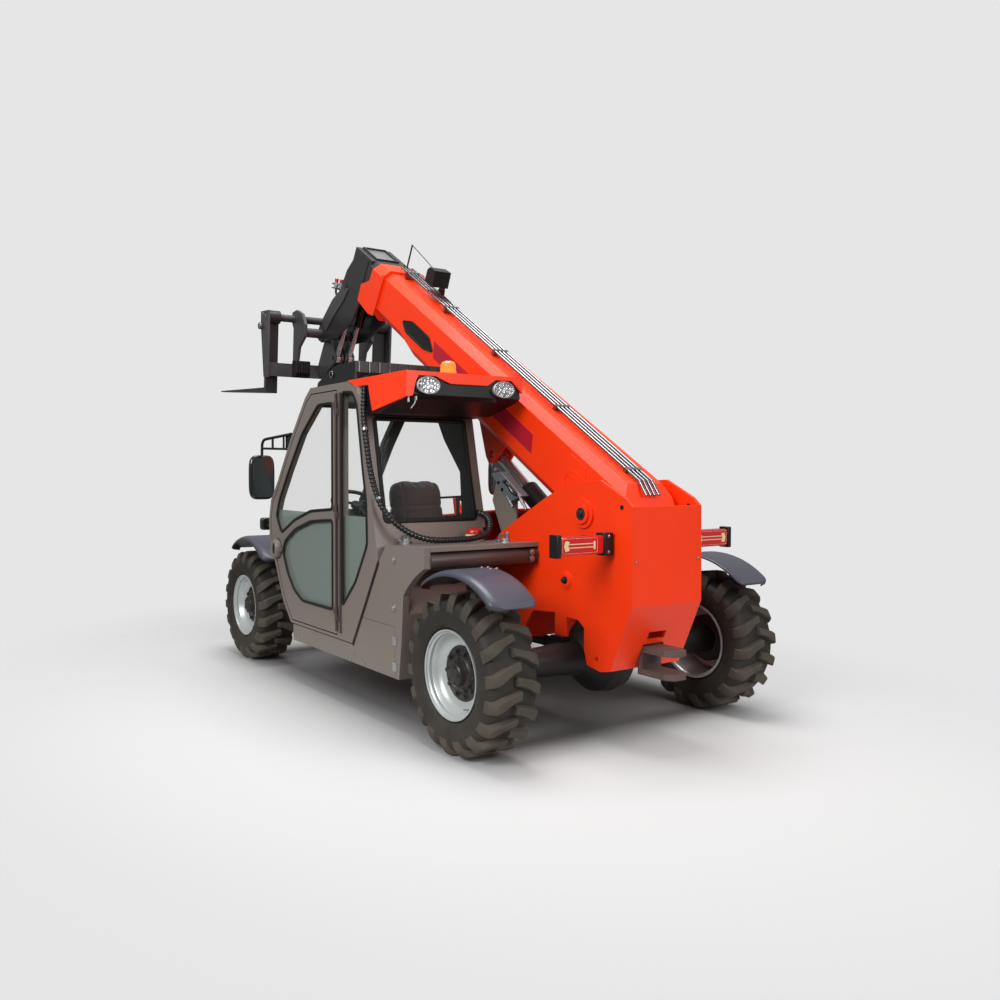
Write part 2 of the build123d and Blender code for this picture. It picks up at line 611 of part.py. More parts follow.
with BuildPart() as carriage:
    for x in (25, 90, -75, -10):
        slab(carriage_side(x), ear_outline, 15)
    for x in (325, -300):
        slab(carriage_side(x), coupler_outline, 25)
    for x in (carriage_half, -carriage_half + 18):
        slab(carriage_side(x), [(95, 165), (250, 165), (250, 60), (rail_front, -375), (95, -375)], 18)
    rod(carriage_side(325), 0, 0, tip_radius, 650)
    rod(carriage_side(carriage_half), shaft_f, shaft_u, 30, 2 * carriage_half)
    slab(carriage_side(carriage_half), [(rail_front - 50, -365), (rail_front, -365), (rail_front, -255),
                                        (rail_front - 50, -255)], 2 * carriage_half)
    for x in (-tilt_x, tilt_x):
        rod(carriage_side(x + 60), eye_f, eye_u, 17, 120, mode=Mode.SUBTRACT)
save(carriage, "carriage")

heel = shaft_u - 623
with BuildPart() as forks:
    for x in (fork_x, -fork_x):
        shank = rail_front + seat_gap
        slab(carriage_side(x + fork_width / 2), [
            (shank, shaft_u), (shank, heel), (shank + fork_length, heel + 12), (shank + fork_length, heel + 22),
            (shank + fork_thick, heel + fork_thick), (shank + fork_thick, shaft_u)], fork_width)
        rod(carriage_side(x + fork_width / 2), shaft_f, shaft_u, 54, fork_width)
        rod(carriage_side(x + fork_width), shaft_f, shaft_u, 30 + seat_gap, 2 * fork_width, mode=Mode.SUBTRACT)
save(forks, "forks")


# ---- cab ----
cab_outline = [                         # station, height
    (-514, 394), (-643, 526), (-745, 721), (-865, 921), (-880, 1061), (-843, 1202), (-718, 1343),
    (-516, 1611), (-280, 1873), (-200, 1930), (300, 1930), (397, 1884), (468, 1810), (550, 1410),
    (618, 1100), (662, 910), (523, 670), (353, 394)]
door_hole = [
    (-490, 412), (-612, 540), (-712, 732), (-830, 928), (-846, 1058), (-812, 1190), (-690, 1328),
    (-490, 1594), (-262, 1846), (-190, 1892), (165, 1892), (165, 412)]
quarter_hole = [
    (235, 600), (235, 1872), (365, 1862), (420, 1790), (490, 1410), (530, 1230), (540, 985), (400, 760)]
right_hole = [
    (-800, 1100), (-680, 1310), (-480, 1575), (-250, 1830), (300, 1830), (400, 1780), (480, 1410), (545, 1110)]
windows = [                             # low, high, front station, rear station; front, rear and roof panes
    (1090, 1820, -1000, -150), (1120, 1705, 440, 700), (1860, 1990, -120, 330)]
roof_hole = [(-120, 1800), (-120, 2000), (330, 2000), (330, 1800)]
glass_x0, glass_x1 = cab_right + 70, cab_left - 75
roof_z = 1890
hinge_heights = (540, 1160, 1780)


gland_x, gland_y, gland_z = 265, 625, 1150              # where the hose enters the rear corner post
gland_plane = Plane(origin=(gland_x, mid_y + gland_y, gland_z), x_dir=(1, 0, 0), z_dir=(0, -7, 1))


def cab_loop(plane, inset, depth, mode=Mode.ADD, top=None):
    """The cab's side outline, drawn in by an inset, pushed across the cab."""
    with BuildSketch(plane) as face:
        with BuildLine():
            Polyline(*cab_outline, close=True)
        make_face()
        if inset:
            offset(amount=-inset, kind=Kind.INTERSECTION)
        if top is not None:
            with Locations((0, top + 500)):
                Rectangle(3000, 1000, mode=Mode.SUBTRACT)
    extrude(face.sketch, amount=depth, mode=mode)


with BuildPart() as cab_frame:
    cab_loop(side(cab_right), 0, cab_left - cab_wall - cab_right, top=roof_z)
    cab_loop(side(cab_left - cab_wall), 0, cab_wall)
    cab_loop(side(cab_right + cab_wall), cab_wall, cab_left - cab_right - 2 * cab_wall,
             mode=Mode.SUBTRACT, top=roof_z - cab_wall)
    slab(side(cab_left - cab_wall - 1), door_hole, cab_wall + 2, mode=Mode.SUBTRACT)
    slab(side(cab_left - cab_wall - 1), quarter_hole, cab_wall + 2, mode=Mode.SUBTRACT)
    slab(side(cab_right - 1), right_hole, cab_wall + 2, mode=Mode.SUBTRACT)
    for low, high, front, rear in windows[:2]:
        slab(side(glass_x0), [(front, low), (rear, low), (rear, high), (front, high)], glass_x1 - glass_x0,
             mode=Mode.SUBTRACT)
    slab(side(glass_x0), roof_hole, glass_x1 - glass_x0, mode=Mode.SUBTRACT)
    block(level(300), cab_right - 1, frame_half + 1, -1000, 800, 765, mode=Mode.SUBTRACT)
    for z in hinge_heights:
        rod(level(z - 40), hinge_x, hinge_y, 5, 78)
        rod(level(z - 40), hinge_x, hinge_y, 11, 40 - seat_gap)
        block(level(z - 40), cab_left - 1, hinge_x, hinge_y, hinge_y + 28, 40 - seat_gap)
    block(level(432), cab_left - 1, cab_left + 9, 207, 223, 1440)
    rod(gland_plane, 0, 0, 22, 40)
save(cab_frame, "cab_frame")

with BuildPart() as cab_glass:
    cab_loop(side(glass_x0 + seat_gap), 12, glass_x1 - glass_x0 - 2 * seat_gap, top=roof_z - 12)
    cab_loop(side(glass_x0), 12 + glass, glass_x1 - glass_x0, mode=Mode.SUBTRACT, top=roof_z - 12 - glass)
    with BuildSketch(side(glass_x0)):
        for low, high, front, rear in windows:
            with BuildLine():
                Polyline((front + seat_gap, low + seat_gap), (rear - seat_gap, low + seat_gap),
                         (rear - seat_gap, high - seat_gap), (front + seat_gap, high - seat_gap), close=True)
            make_face()
    extrude(amount=glass_x1 - glass_x0, mode=Mode.INTERSECT)
    for x, hole in ((cab_left - 25, quarter_hole), (cab_right + 15, right_hole)):
        with BuildSketch(side(x)):
            with BuildLine():
                Polyline(*hole, close=True)
            make_face()
            offset(amount=-seat_gap, kind=Kind.INTERSECTION)
        extrude(amount=glass)
save(cab_glass, "cab_glass")

upper_light = [(-90, 1816), (105, 1816), (105, 1172), (-200, 1150), (-450, 1080), (-660, 985), (-745, 1100),
               (-690, 1210), (-540, 1400), (-330, 1640)]
lower_light = [(105, 1106), (-200, 1084), (-440, 1020), (-600, 935), (-640, 860), (-560, 720), (-460, 620),
               (-330, 560), (105, 560)]

with BuildPart() as door:
    with BuildSketch(side(cab_left - door_thick)):
        with BuildLine():
            Polyline(*door_hole, close=True)
        make_face()
        offset(amount=-door_gap, kind=Kind.INTERSECTION)
    extrude(amount=door_thick)
    for light in (upper_light, lower_light):
        slab(side(cab_left - door_thick - 1), light, door_thick + 2, mode=Mode.SUBTRACT)
    for z in hinge_heights:
        rod(level(z), hinge_x, hinge_y, 11, 40)
        block(level(z), cab_left - 1, hinge_x, hinge_y - 46, hinge_y - 18, 40)
        block(level(z), cab_left + 2, hinge_x + 8, hinge_y - 19, hinge_y, 40)
        rod(level(z - 1), hinge_x, hinge_y, 5 + fit, 42, mode=Mode.SUBTRACT)
    block(level(846), cab_left - 1, cab_left + 9, -770, -700, 52)
    block(level(858), cab_left - 1, cab_left + 34, -764, -752, 26)
    block(level(858), cab_left + 22, cab_left + 34, -764, -640, 26)
    block(level(858), cab_left - 1, cab_left + 34, -652, -640, 26)
save(door, "door")

with BuildPart() as door_glass:
    for light in (upper_light, lower_light):
        with BuildSketch(side(cab_left - 22)):
            with BuildLine():
                Polyline(*light, close=True)
            make_face()
            offset(amount=-seat_gap, kind=Kind.INTERSECTION)
        extrude(amount=glass)
save(door_glass, "door_glass")

visor_rear, visor_top = 962, 1935
lamp_z = 1860
lip_outline = [                         # rear lip of the visor: from the left, height
    (cab_left, visor_top), (cab_left, 1798), (958, 1803), (938, 1885), (922, 1912), (810, 1912), (782, 1899),
    (717, 1876), (468, 1877), (413, 1912), (300, 1912), (262, 1882), (cab_right - 6, 1845),
    (cab_right - 6, visor_top)]
roof_outline = [
    (-140, roof_z + seat_gap), (-140, 1915), (-100, visor_top), (visor_rear, visor_top), (visor_rear, 1921),
    (460, 1921), (440, roof_z + seat_gap)]
cheek_outline = [
    (305, visor_top), (visor_rear, visor_top), (visor_rear, 1798), (597, 1740), (551, 1889), (403, 1893)]

with BuildPart() as cab_roof:
    slab(side(cab_right - 6), roof_outline, cab_left - cab_wall - seat_gap - cab_right + 6)
    slab(side(cab_left - cab_wall - 1), [(490, visor_top), (visor_rear, visor_top), (visor_rear, 1921),
                                         (490, 1921)], cab_wall)
    slab(side(cab_left - 14), cheek_outline, 14)
    slab(across(visor_rear), lip_outline, 14)
    slab(side(glass_x0), roof_hole, glass_x1 - glass_x0, mode=Mode.SUBTRACT)
save(cab_roof, "cab_roof")

guard_x0, guard_x1 = 270, 950
with BuildPart() as roof_guard:
    for x in (guard_x0, guard_x1 - 12):
        slab(side(x), [(-95, visor_top + seat_gap), (300, visor_top + seat_gap), (305, 2055), (30, 2046),
                       (-190, 1968), (-206, 1942), (-140, 1938)], 12)
    for i in range(10):
        slab(side(guard_x0 + 8 + 72.4 * i), [(-182, 1946), (-60, 1972), (290, 2008), (290, 2050), (24, 2040),
                                             (-180, 1966)], 8)
    block(across(305), guard_x0, guard_x1, 1990, 2055, 14)
    block(across(-180), guard_x0, guard_x1, 1944, 1970, 12)
    for x in (guard_x0 - 4, guard_x1 - 12):
        rod(side(x), 5, 2000, 27, 16)
    rod(side(guard_x0 - 5), 5, 2000, 15, guard_x1 - guard_x0 + 10, mode=Mode.SUBTRACT)
    slab(side(cab_right), [(470, 1912), (visor_rear - 14.3, 1912), (visor_rear - 16, 1812), (900, 1790),
                           (660, 1728), (500, 1722), (480, 1800)], cab_left - 14.3 - cab_right)
    for x in (363, 866):
        rod(across(visor_rear - 12), x, lamp_z, 58, 8, mode=Mode.SUBTRACT)
save(roof_guard, "roof_guard")

with BuildPart() as seat:
    block(level(436 + seat_gap), 480, 740, 60, 290, 300)
    block(level(736), 400, 820, 30, 500, 130)
    slab(side(420), [(400, 866), (520, 866), (560, 1100), (450, 1560), (380, 1560)], 380)
save(seat, "seat")

with BuildPart() as console:
    slab(side(500), [(-470, 436.3), (-380, 436.3), (-360, 900), (-310, 1120), (-360, 1150), (-600, 1080),
                     (-640, 960), (-560, 700)], 220)
    column = Plane(origin=(610, mid_y - 336, 1120), x_dir=(1, 0, 0), z_dir=(0, 0.5, 0.866))
    rod(column, 0, 0, 24, 70)
    rod(column.offset(60), 0, 0, 42, 16)
    rod(column.offset(60), 0, 0, 180, 18)
    rod(column.offset(59), 0, 0, 158, 20, mode=Mode.SUBTRACT)
    rod(column.offset(50), 0, 0, 40, 26)
    for turn in (90, 210, 330):
        reach_x, reach_y = 168 * cos(radians(turn)), 168 * sin(radians(turn))
        slab(column.offset(62), [(-9 * sin(radians(turn)), 9 * cos(radians(turn))),
                                 (9 * sin(radians(turn)), -9 * cos(radians(turn))),
                                 (reach_x + 9 * sin(radians(turn)), reach_y - 9 * cos(radians(turn))),
                                 (reach_x - 9 * sin(radians(turn)), reach_y + 9 * cos(radians(turn)))], 12)
save(console, "console")

# ---- cab hose: down the rear post from the roof's corner, over the deck and into the cab ----
hose_radius = 12.5
hose_route = [                          # across, station, height
    (993, 500, 1889.8), (996, 497, 1825), (1010, 515, 1740), (1020, 550, 1640), (1022, 580, 1530),
    (1015, 598, 1420), (1000, 618, 1315), (975, 645, 1215), (930, 690, 1130), (862, 745, 1065),
    (780, 790, 1026), (690, 812, 1016), (590, 820, 1016), (490, 822, 1017), (400, 815, 1025),
    (330, 790, 1052), (290, 755, 1093), (272, 708, 1128), (265, 660.3, 1145),
    (gland_x, gland_y + seat_gap, gland_z)]
hose_points = [Vector(x, mid_y + y, z) for x, y, z in hose_route]
hose_runs = [end - start for start, end in zip(hose_points, hose_points[1:])]
hose_bends = [
    0.45 * min(before.length, after.length) / tan(radians(before.get_angle(after) / 2))
    for before, after in zip(hose_runs, hose_runs[1:])]
print("cab_hose bend radii", [round(bend) for bend in hose_bends])

with BuildPart() as cab_hose:
    with BuildLine() as hose_line:
        FilletPolyline(*hose_points, radius=hose_bends)
    with BuildSketch(Plane(origin=hose_points[0], z_dir=hose_runs[0])):
        Circle(hose_radius)
    sweep(path=hose_line.wires()[0])
hose_length = hose_line.wires()[0].length
print("cab_hose length", round(hose_length), "volume over section times length",
      round(cab_hose.part.volume / (pi * hose_radius ** 2 * hose_length), 4))
save(cab_hose, "cab_hose")

# ---- left deck, skirt and tank ----
arch_low = axle_z + 340     # the arch's round stretch starts here
skirt = [
    (-475, skirt_low), (888, skirt_low), (915, 500), (932, arch_low), (1136, arch_low), (1136, 1012),
    (745, 994), (670, 900), (530, 668), (356, 388), (-475, 388)]
deck_tank = [                           # what the skirt hides: the fuel tank
    (-475, skirt_low), (888, skirt_low), (915, 500), (925, 640), (880, 780), (745, 960), (706, 960),
    (670, 900), (530, 668), (356, 388), (-475, 388)]
deck_plate = [(668, 962), (668, 990), (745, 997), (1145, 1012), (1145, 988), (745, 973)]
skirt_thick = 40
tube_radius = 46
tube_reach = fender_radius + 15 + tube_radius           # the tube lies clear above the mudguard
tube_y = rear_axle_y - tube_reach * cos(radians(64))
tube_z = axle_z + tube_reach * sin(radians(64))

with BuildPart() as side_deck:
    slab(side(cab_left - skirt_thick), skirt, skirt_thick)
    slab(side(deck_inner), deck_tank, cab_left - skirt_thick - deck_inner)
    slab(side(frame_half + seat_gap), deck_plate, cab_left - skirt_thick - frame_half)
    with BuildSketch(side(deck_inner - 1)) as arch:
        with Locations((rear_axle_y, axle_z)):
            Circle(fender_radius + 14)
        with Locations((rear_axle_y, arch_low - fender_radius)):
            Rectangle(4 * fender_radius, 2 * fender_radius, mode=Mode.SUBTRACT)
    extrude(arch.sketch, amount=cab_left, mode=Mode.SUBTRACT)
    rod(level(990), 840, 705, 24, 34)
    rod(level(990), 840, 705, 33, 16)
    rod(level(990), 385, 1020, 24, 40)
    rod(level(990), 385, 1020, 33, 22)
    rod(level(990), 385, 730, 42, 26)
    rod(level(990), 385, 730, 30, 72)
    for y, z in ((836, 925), (836, 665)):
        rod(side(cab_left - 1), y, z, 17, 8)
        rod(side(cab_left), y, z, 6, 12)
    for z in (487, 346):
        block(level(z - 24), cab_left - 1, cab_left + 5, 826, 866, 48)
    block(level(skirt_low - 1), cab_left - 3, cab_left + 1, 844.5, 847.5, 281, mode=Mode.SUBTRACT)
    block(level(562), cab_left - 3, cab_left + 1, 470, 847.5, 3, mode=Mode.SUBTRACT)
save(side_deck, "side_deck")

with BuildPart() as cross_tank:
    rod(side(frame_half + seat_gap), tube_y, tube_z, tube_radius,
        cab_left - skirt_thick - frame_half - 2 * seat_gap)
    rod(side(frame_half + seat_gap), tube_y, tube_z, tube_radius + 2, 12)
    for z in (tube_z - 26, tube_z + 26):
        rod(side(frame_half + 12), tube_y, z, 9, 10)
save(cross_tank, "cross_tank")

with BuildPart() as valve_block:
    slab(side(190), [(645, 1235), (660, 1385), (840, 1408), (850, 1250)], frame_half - 190)
    slab(side(frame_half - 20), [(700, 1240), (800, 1044), (860, 1077.4), (850, 1250)], 18)
save(valve_block, "valve_block")

# ---- engine hood ----
with BuildPart() as hood:
    shell = [(-820, 700), (-820, 1020), (-780, 1062), (200, 1150), (1000, 1180), (1060, 1140), (1060, 960),
             (960, 850), (880, 700)]
    slab(side(hood_outer), shell, hood_inner - hood_outer)
    with BuildSketch(side(hood_outer + 12)) as inside:
        with BuildLine():
            Polyline(*shell, close=True)
        make_face()
        offset(amount=-12, kind=Kind.INTERSECTION)
    extrude(inside.sketch, amount=hood_inner - hood_outer, mode=Mode.SUBTRACT)
    slab(side(hood_outer + 12), [(-808, 600), (-808, 720), (880, 720), (880, 600)], hood_inner - hood_outer,
         mode=Mode.SUBTRACT)
    rod(side(hood_outer - 1), rear_axle_y, axle_z, fender_radius + 14, 900, mode=Mode.SUBTRACT)
    for y, top, foot in hood_hinges:
        slab(across(y + 21), [(hood_inner - 60, top - 8), (hood_inner, top - 8),
                              (hood_inner + 14, hood_hinge_z), (hood_inner - 14, hood_hinge_z)], 40)
        rod(across(y + 21), hood_inner, hood_hinge_z, 14, 40)
        rod(across(y + 22), hood_inner, hood_hinge_z, 8 + fit, 42, mode=Mode.SUBTRACT)
    for i in range(9):
        block(across(-520 + 56 * i), hood_outer - 1, hood_outer + 13, 800, 1000, 26, mode=Mode.SUBTRACT)
save(hood, "hood")

with BuildPart() as right_skirt:
    slab(side(hood_outer), [(-820, skirt_low), (888, skirt_low), (915, 500), (929, 694), (-820, 694)], 40)
    block(level(412), hood_outer + 39, hood_outer + 90, -800, 850, 17.7)
save(right_skirt, "right_skirt")

# ---- lamps and mirrors ----
with BuildPart() as tail_lamps:
    for hand in (1, -1):
        low, high = sorted((hand * (frame_half + seat_gap), hand * 603))
        block(across(rear_y - 120), low, high, 996, 1088, 52)
        low, high = sorted((hand * (frame_half + seat_gap), hand * 322))
        block(across(rear_y - 117), low, high, 986, 1098, 60)
        low, high = sorted((hand * 602, hand * 628))
        block(across(rear_y - 117), low, high, 986, 1098, 60)
save(tail_lamps, "tail_lamps")

with BuildPart() as work_lamps:
    for x in (363, 866):
        rod(across(visor_rear + 6), x, lamp_z, 50, 25.4)
        rod(across(visor_rear + 12), x, lamp_z, 42, 10)
save(work_lamps, "work_lamps")

with BuildPart() as beacon:
    rod(level(1935 + seat_gap), 420, 500, 45, 20)
    rod(level(1950), 420, 500, 38, 90)
save(beacon, "beacon")

mirror_x, mirror_y, mirror_z = 1080, -900, 1360
mirror_size = (170, 290, 44)
arm_radius = 10
pad_along, pad_out = (0.602, 0.799), (-0.799, 0.602)   # along and away from the cab's front edge
pad_start = (-718, 1343)


def on_pillar(d, out):
    """Station and height of a point on the windscreen pillar's edge, and outward from it."""
    return tuple(start + d * run + out * away for start, run, away in zip(pad_start, pad_along, pad_out))


with BuildPart() as mirrors:
    slab(side(cab_left - 36), [on_pillar(225, seat_gap), on_pillar(315, seat_gap), on_pillar(315, 14),
                               on_pillar(225, 14)], 32)
    root_y, root_z = on_pillar(270, 10)
    left_arm = [(cab_left - 20, mid_y + root_y, root_z), (cab_left - 20, mid_y + root_y - 120, root_z + 20),
                (mirror_x, mid_y + mirror_y, root_z + 20), (mirror_x, mid_y + mirror_y, mirror_z)]
    right_arm = [(hood_outer + 20, mid_y - 833, 560), (hood_outer + 20, mid_y - 833, 1130),
                 (-mirror_x, mid_y + mirror_y, 1200), (-mirror_x, mid_y + mirror_y, mirror_z)]
    bent_rod(left_arm, arm_radius)
    bent_rod(right_arm, arm_radius)
    bent_rod([(x, y, z - 70) for x, y, z in left_arm[1:3]], arm_radius - 2)
    bent_rod([left_arm[1], (left_arm[1][0], left_arm[1][1], left_arm[1][2] - 70)], arm_radius - 2)
    block(across(-820 - seat_gap), hood_outer + 2, hood_outer + 38, 480, 640, 14)
    for x in (mirror_x, -mirror_x):
        block(across(mirror_y + 10), x - mirror_size[0] / 2, x + mirror_size[0] / 2,
              mirror_z - mirror_size[1] / 2, mirror_z + mirror_size[1] / 2, mirror_size[2])
save(mirrors, "mirrors")
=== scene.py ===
import math

import bmesh
import bpy
import numpy as np
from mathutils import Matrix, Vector


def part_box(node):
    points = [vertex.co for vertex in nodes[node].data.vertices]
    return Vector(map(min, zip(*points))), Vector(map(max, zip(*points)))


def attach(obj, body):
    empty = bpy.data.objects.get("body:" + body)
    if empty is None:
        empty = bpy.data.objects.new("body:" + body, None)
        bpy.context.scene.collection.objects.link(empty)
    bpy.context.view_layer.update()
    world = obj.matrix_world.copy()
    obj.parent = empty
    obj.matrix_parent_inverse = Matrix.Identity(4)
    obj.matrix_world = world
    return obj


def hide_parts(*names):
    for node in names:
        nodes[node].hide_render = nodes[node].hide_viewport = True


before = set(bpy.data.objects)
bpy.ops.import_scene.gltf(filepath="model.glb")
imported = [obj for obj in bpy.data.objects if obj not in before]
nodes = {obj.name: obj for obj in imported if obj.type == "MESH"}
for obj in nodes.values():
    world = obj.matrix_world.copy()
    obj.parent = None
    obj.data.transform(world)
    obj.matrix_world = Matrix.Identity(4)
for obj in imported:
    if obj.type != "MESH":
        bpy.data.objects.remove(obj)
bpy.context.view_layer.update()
corners = ["front_left", "front_right", "rear_left", "rear_right"]


# places: x to the machine's left, s its station behind the middle of the wheelbase, z up, in metres
def middleOf(node):
    low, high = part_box(node)
    return (low + high) / 2


middleY = (middleOf("tyre_front_left").y + middleOf("tyre_rear_left").y) / 2
boomValues = {"pivot": (1.505, 1.182), "angle": 32.55}
boomCos = math.cos(math.radians(boomValues["angle"]))
boomSin = math.sin(math.radians(boomValues["angle"]))


def at(x, s, z):
    return (x, middleY + s, z)


def onBoom(x, a, n):  # a metres along the boom from its pivot, n square to it
    s, z = boomValues["pivot"]
    return at(x, s - a * boomCos + n * boomSin, z + a * boomSin + n * boomCos)


# camera
cameraValues = {"place": (3.449, 5.508, 1.405), "looking": (-0.5299, -0.8474, -0.0326), "lens": 32.05,
                "shift": 0.0863}
cameraData = bpy.data.cameras.new("camera")
cameraData.lens = cameraValues["lens"]
cameraData.shift_x = cameraValues["shift"]
camera = bpy.data.objects.new("camera", cameraData)
camera.location = cameraValues["place"]
camera.rotation_euler = Vector(cameraValues["looking"]).to_track_quat("-Z", "Y").to_euler()
bpy.context.scene.collection.objects.link(camera)
bpy.context.scene.camera = camera
print("camera placed")


# shader maths
def mathsNode(operation, turnedRound=False):  # an operator that adds a Math node
    def act(self, other):
        return self.maths(operation, *((other, self) if turnedRound else (self, other)))
    return act


class Wire:  # an output socket whose sums and products add Math nodes
    def __init__(self, tree, socket=None):
        self.tree, self.socket = tree, socket

    def make(self, kind, settings=None, sockets=None, out=0):
        # any node: its settings first, then a value or a link for each of its sockets
        node = self.tree.nodes.new(kind)
        for name, value in (settings or {}).items():
            setattr(node, name, value)
        feed(node, sockets or {})
        return Wire(self.tree, node.outputs[out])

    def maths(self, operation, *values):
        return self.make("ShaderNodeMath", {"operation": operation}, dict(enumerate(values)))

    __add__ = __radd__ = mathsNode("ADD")
    __sub__, __rsub__ = mathsNode("SUBTRACT"), mathsNode("SUBTRACT", True)
    __mul__ = __rmul__ = mathsNode("MULTIPLY")
    __truediv__, __pow__ = mathsNode("DIVIDE"), mathsNode("POWER")
    __gt__, __lt__ = mathsNode("GREATER_THAN"), mathsNode("LESS_THAN")

    def __abs__(self):
        return self.maths("ABSOLUTE", self)

    def clamp(self):
        return self.make("ShaderNodeClamp", None, {"Value": self})

    def axes(self):
        node = self.make("ShaderNodeSeparateXYZ", None, {"Vector": self}).socket.node
        return [Wire(self.tree, socket) for socket in node.outputs]


def feed(node, sockets):
    for name, value in sockets.items():
        if isinstance(value, Wire):
            node.id_data.links.new(value.socket, node.inputs[name])
        else:
            node.inputs[name].default_value = value


def hue(code):  # a screen colour as linear light
    parts = [int(code[i:i + 2], 16) / 255 for i in (1, 3, 5)]
    return (*[p / 12.92 if p <= 0.04045 else ((p + 0.055) / 1.055) ** 2.4 for p in parts], 1.0)


def between(value, low, high):
    return (value > low) * (value < high)


def noise(place, scale, detail=3.0):
    return place.make("ShaderNodeTexNoise", None, {"Vector": place, "Scale": scale, "Detail": detail})


def blendHue(mask, first, second):
    return mask.make("ShaderNodeMix", {"data_type": "RGBA"}, {0: mask, 6: first, 7: second}, out=2)


def startMaterial(name):
    material = bpy.data.materials.new(name)
    material.use_nodes = True
    tree = material.node_tree
    shader = tree.nodes["Principled BSDF"]
    return material, shader, Wire(tree).make("ShaderNodeTexCoord", out="Object")


def relief(place, height, strength, depth, edge=0.003):
    # a bump on top of softened edges
    sockets = {"Height": height, "Strength": strength, "Distance": depth}
    if edge:
        sockets["Normal"] = place.make("ShaderNodeBevel", {"samples": 4}, {"Radius": edge})
    return place.make("ShaderNodeBump", None, sockets)


# finish: hue, shade of its clouds, roughness, metal, coat, grain per metre, grain depth, dust
finishes = {
    "machineOrange": ("#ff3c00", "#f53200", 0.42, 0.0, 0.1, 260, 0.00006, 0.05),
    "cabTaupe": ("#7d736c", "#6f665f", 0.42, 0.0, 0.12, 700, 0.0001, 0.08),
    "tubeBrown": ("#4a3f3c", "#3a302e", 0.36, 0.0, 0.25, 500, 0.00008, 0.1),
    "mudguardGrey": ("#454655", "#383944", 0.34, 0.0, 0.05, 900, 0.00012, 0.12),
    "headBlack": ("#2f2c2d", "#222021", 0.38, 0.1, 0.2, 500, 0.0001, 0.08),
    "plateGrey": ("#504e50", "#3d3b3d", 0.42, 0.2, 0.1, 500, 0.0001, 0.08),
    "underBlack": ("#0e0d0d", "#080707", 0.55, 0.0, 0.05, 300, 0.0003, 0.03),
    "trimBlack": ("#161617", "#0d0d0e", 0.42, 0.0, 0.05, 600, 0.00005, 0.06),
    "glossBlack": ("#18191b", "#0e0f10", 0.16, 0.0, 0.8, 900, 0.00004, 0.03),
    "sealRubber": ("#0c0c0d", "#070707", 0.58, 0.0, 0.0, 900, 0.0001, 0.03),
    "hitchPrimer": ("#5f4d48", "#4a3b38", 0.6, 0.0, 0.0, 400, 0.00025, 0.15),
    "engineIron": ("#2b2c2d", "#1c1d1e", 0.6, 0.3, 0.0, 180, 0.0006, 0.2),
    "zincPlate": ("#b4b7b8", "#8d9192", 0.3, 0.9, 0.0, 500, 0.00008, 0.03),
    "alloyGrey": ("#8b959b", "#6f797f", 0.42, 0.6, 0.0, 420, 0.0002, 0.05),
    "rodChrome": ("#d2d6da", "#b8bcc0", 0.18, 0.85, 0.0, 200, 0.00001, 0.02),
    "pipeSteel": ("#8d9194", "#6f7376", 0.24, 1.0, 0.0, 300, 0.00002, 0.03),
    "rimSilver": ("#c6cbca", "#b0b6b5", 0.34, 0.45, 0.2, 600, 0.00008, 0.04),
    "hubBlack": ("#1c1a1b", "#121011", 0.4, 0.1, 0.1, 500, 0.0002, 0.1),
    "sidewallRubber": ("#171614", "#0f0e0d", 0.62, 0.0, 0.0, 500, 0.0003, 0.12),
    "treadRubber": ("#3c3731", "#26231f", 0.74, 0.0, 0.0, 350, 0.0005, 0.22),
    "hoseBlack": ("#1d1d1f", "#121213", 0.26, 0.0, 0.3, 600, 0.00004, 0.02),
    "capRed": ("#c8221c", "#a81812", 0.3, 0.0, 0.4, 600, 0.00006, 0.02),
    "lampCream": ("#f0dcae", "#e0c48c", 0.25, 0.0, 0.5, 300, 0.00002, 0.0),
}
dustHue = hue("#8c7f70")
sharpFinishes = ("rimSilver", "sidewallRubber", "hoseBlack", "pipeSteel", "rodChrome")  # no softened edges


def finishParts(name, values):
    # clouded colour and roughness, a breath of dust that thickens towards the floor, fine grain in the bump
    colour, shade, rough, metal, coat, grain, depth, dust = values
    material, shader, place = startMaterial(name)
    height = place.axes()[2]
    clouds = noise(place, 1.7, 4.0)
    speckle = noise(place, grain, 2.0)
    low = (1.0 - height * 0.9).clamp()
    dusty = (low * noise(place, 9.0, 6.0) * (2.0 * dust)).clamp()
    tint = blendHue(clouds, hue(shade), hue(colour))
    tint = blendHue(dusty, tint, dustHue)
    edge = 0.0 if name in sharpFinishes else 0.003
    feed(shader, {"Base Color": tint, "Roughness": (clouds * 0.12 + dusty * 0.5 + (rough - 0.06)).clamp(),
                  "Metallic": metal, "Coat Weight": coat, "Coat Roughness": 0.12, "Specular IOR Level": 0.35,
                  "Normal": relief(place, speckle, 0.35, depth, edge)})
    return material, shader, place, tint


materials = {name: finishParts(name, values)[0] for name, values in finishes.items()}


def glassMaterial(name, colour, alpha, paintedReflection=None):
    # clear glass, with a painted reflection, paler and nearly opaque, inside the zone that the last argument gives
    material, shader, place = startMaterial(name)
    smear = noise(place, 14.0, 5.0)
    values = {"Base Color": hue(colour), "Roughness": smear * 0.05 + 0.02, "Alpha": alpha, "IOR": 1.5,
              "Specular IOR Level": 0.7, "Coat Weight": 0.4, "Coat Roughness": 0.02}
    if paintedReflection:
        mask = paintedReflection(*place.axes())
        values["Base Color"] = blendHue(mask, hue(colour), hue("#7c8981"))
        values["Alpha"] = mask * 0.74 + alpha
    feed(shader, values)
    return material


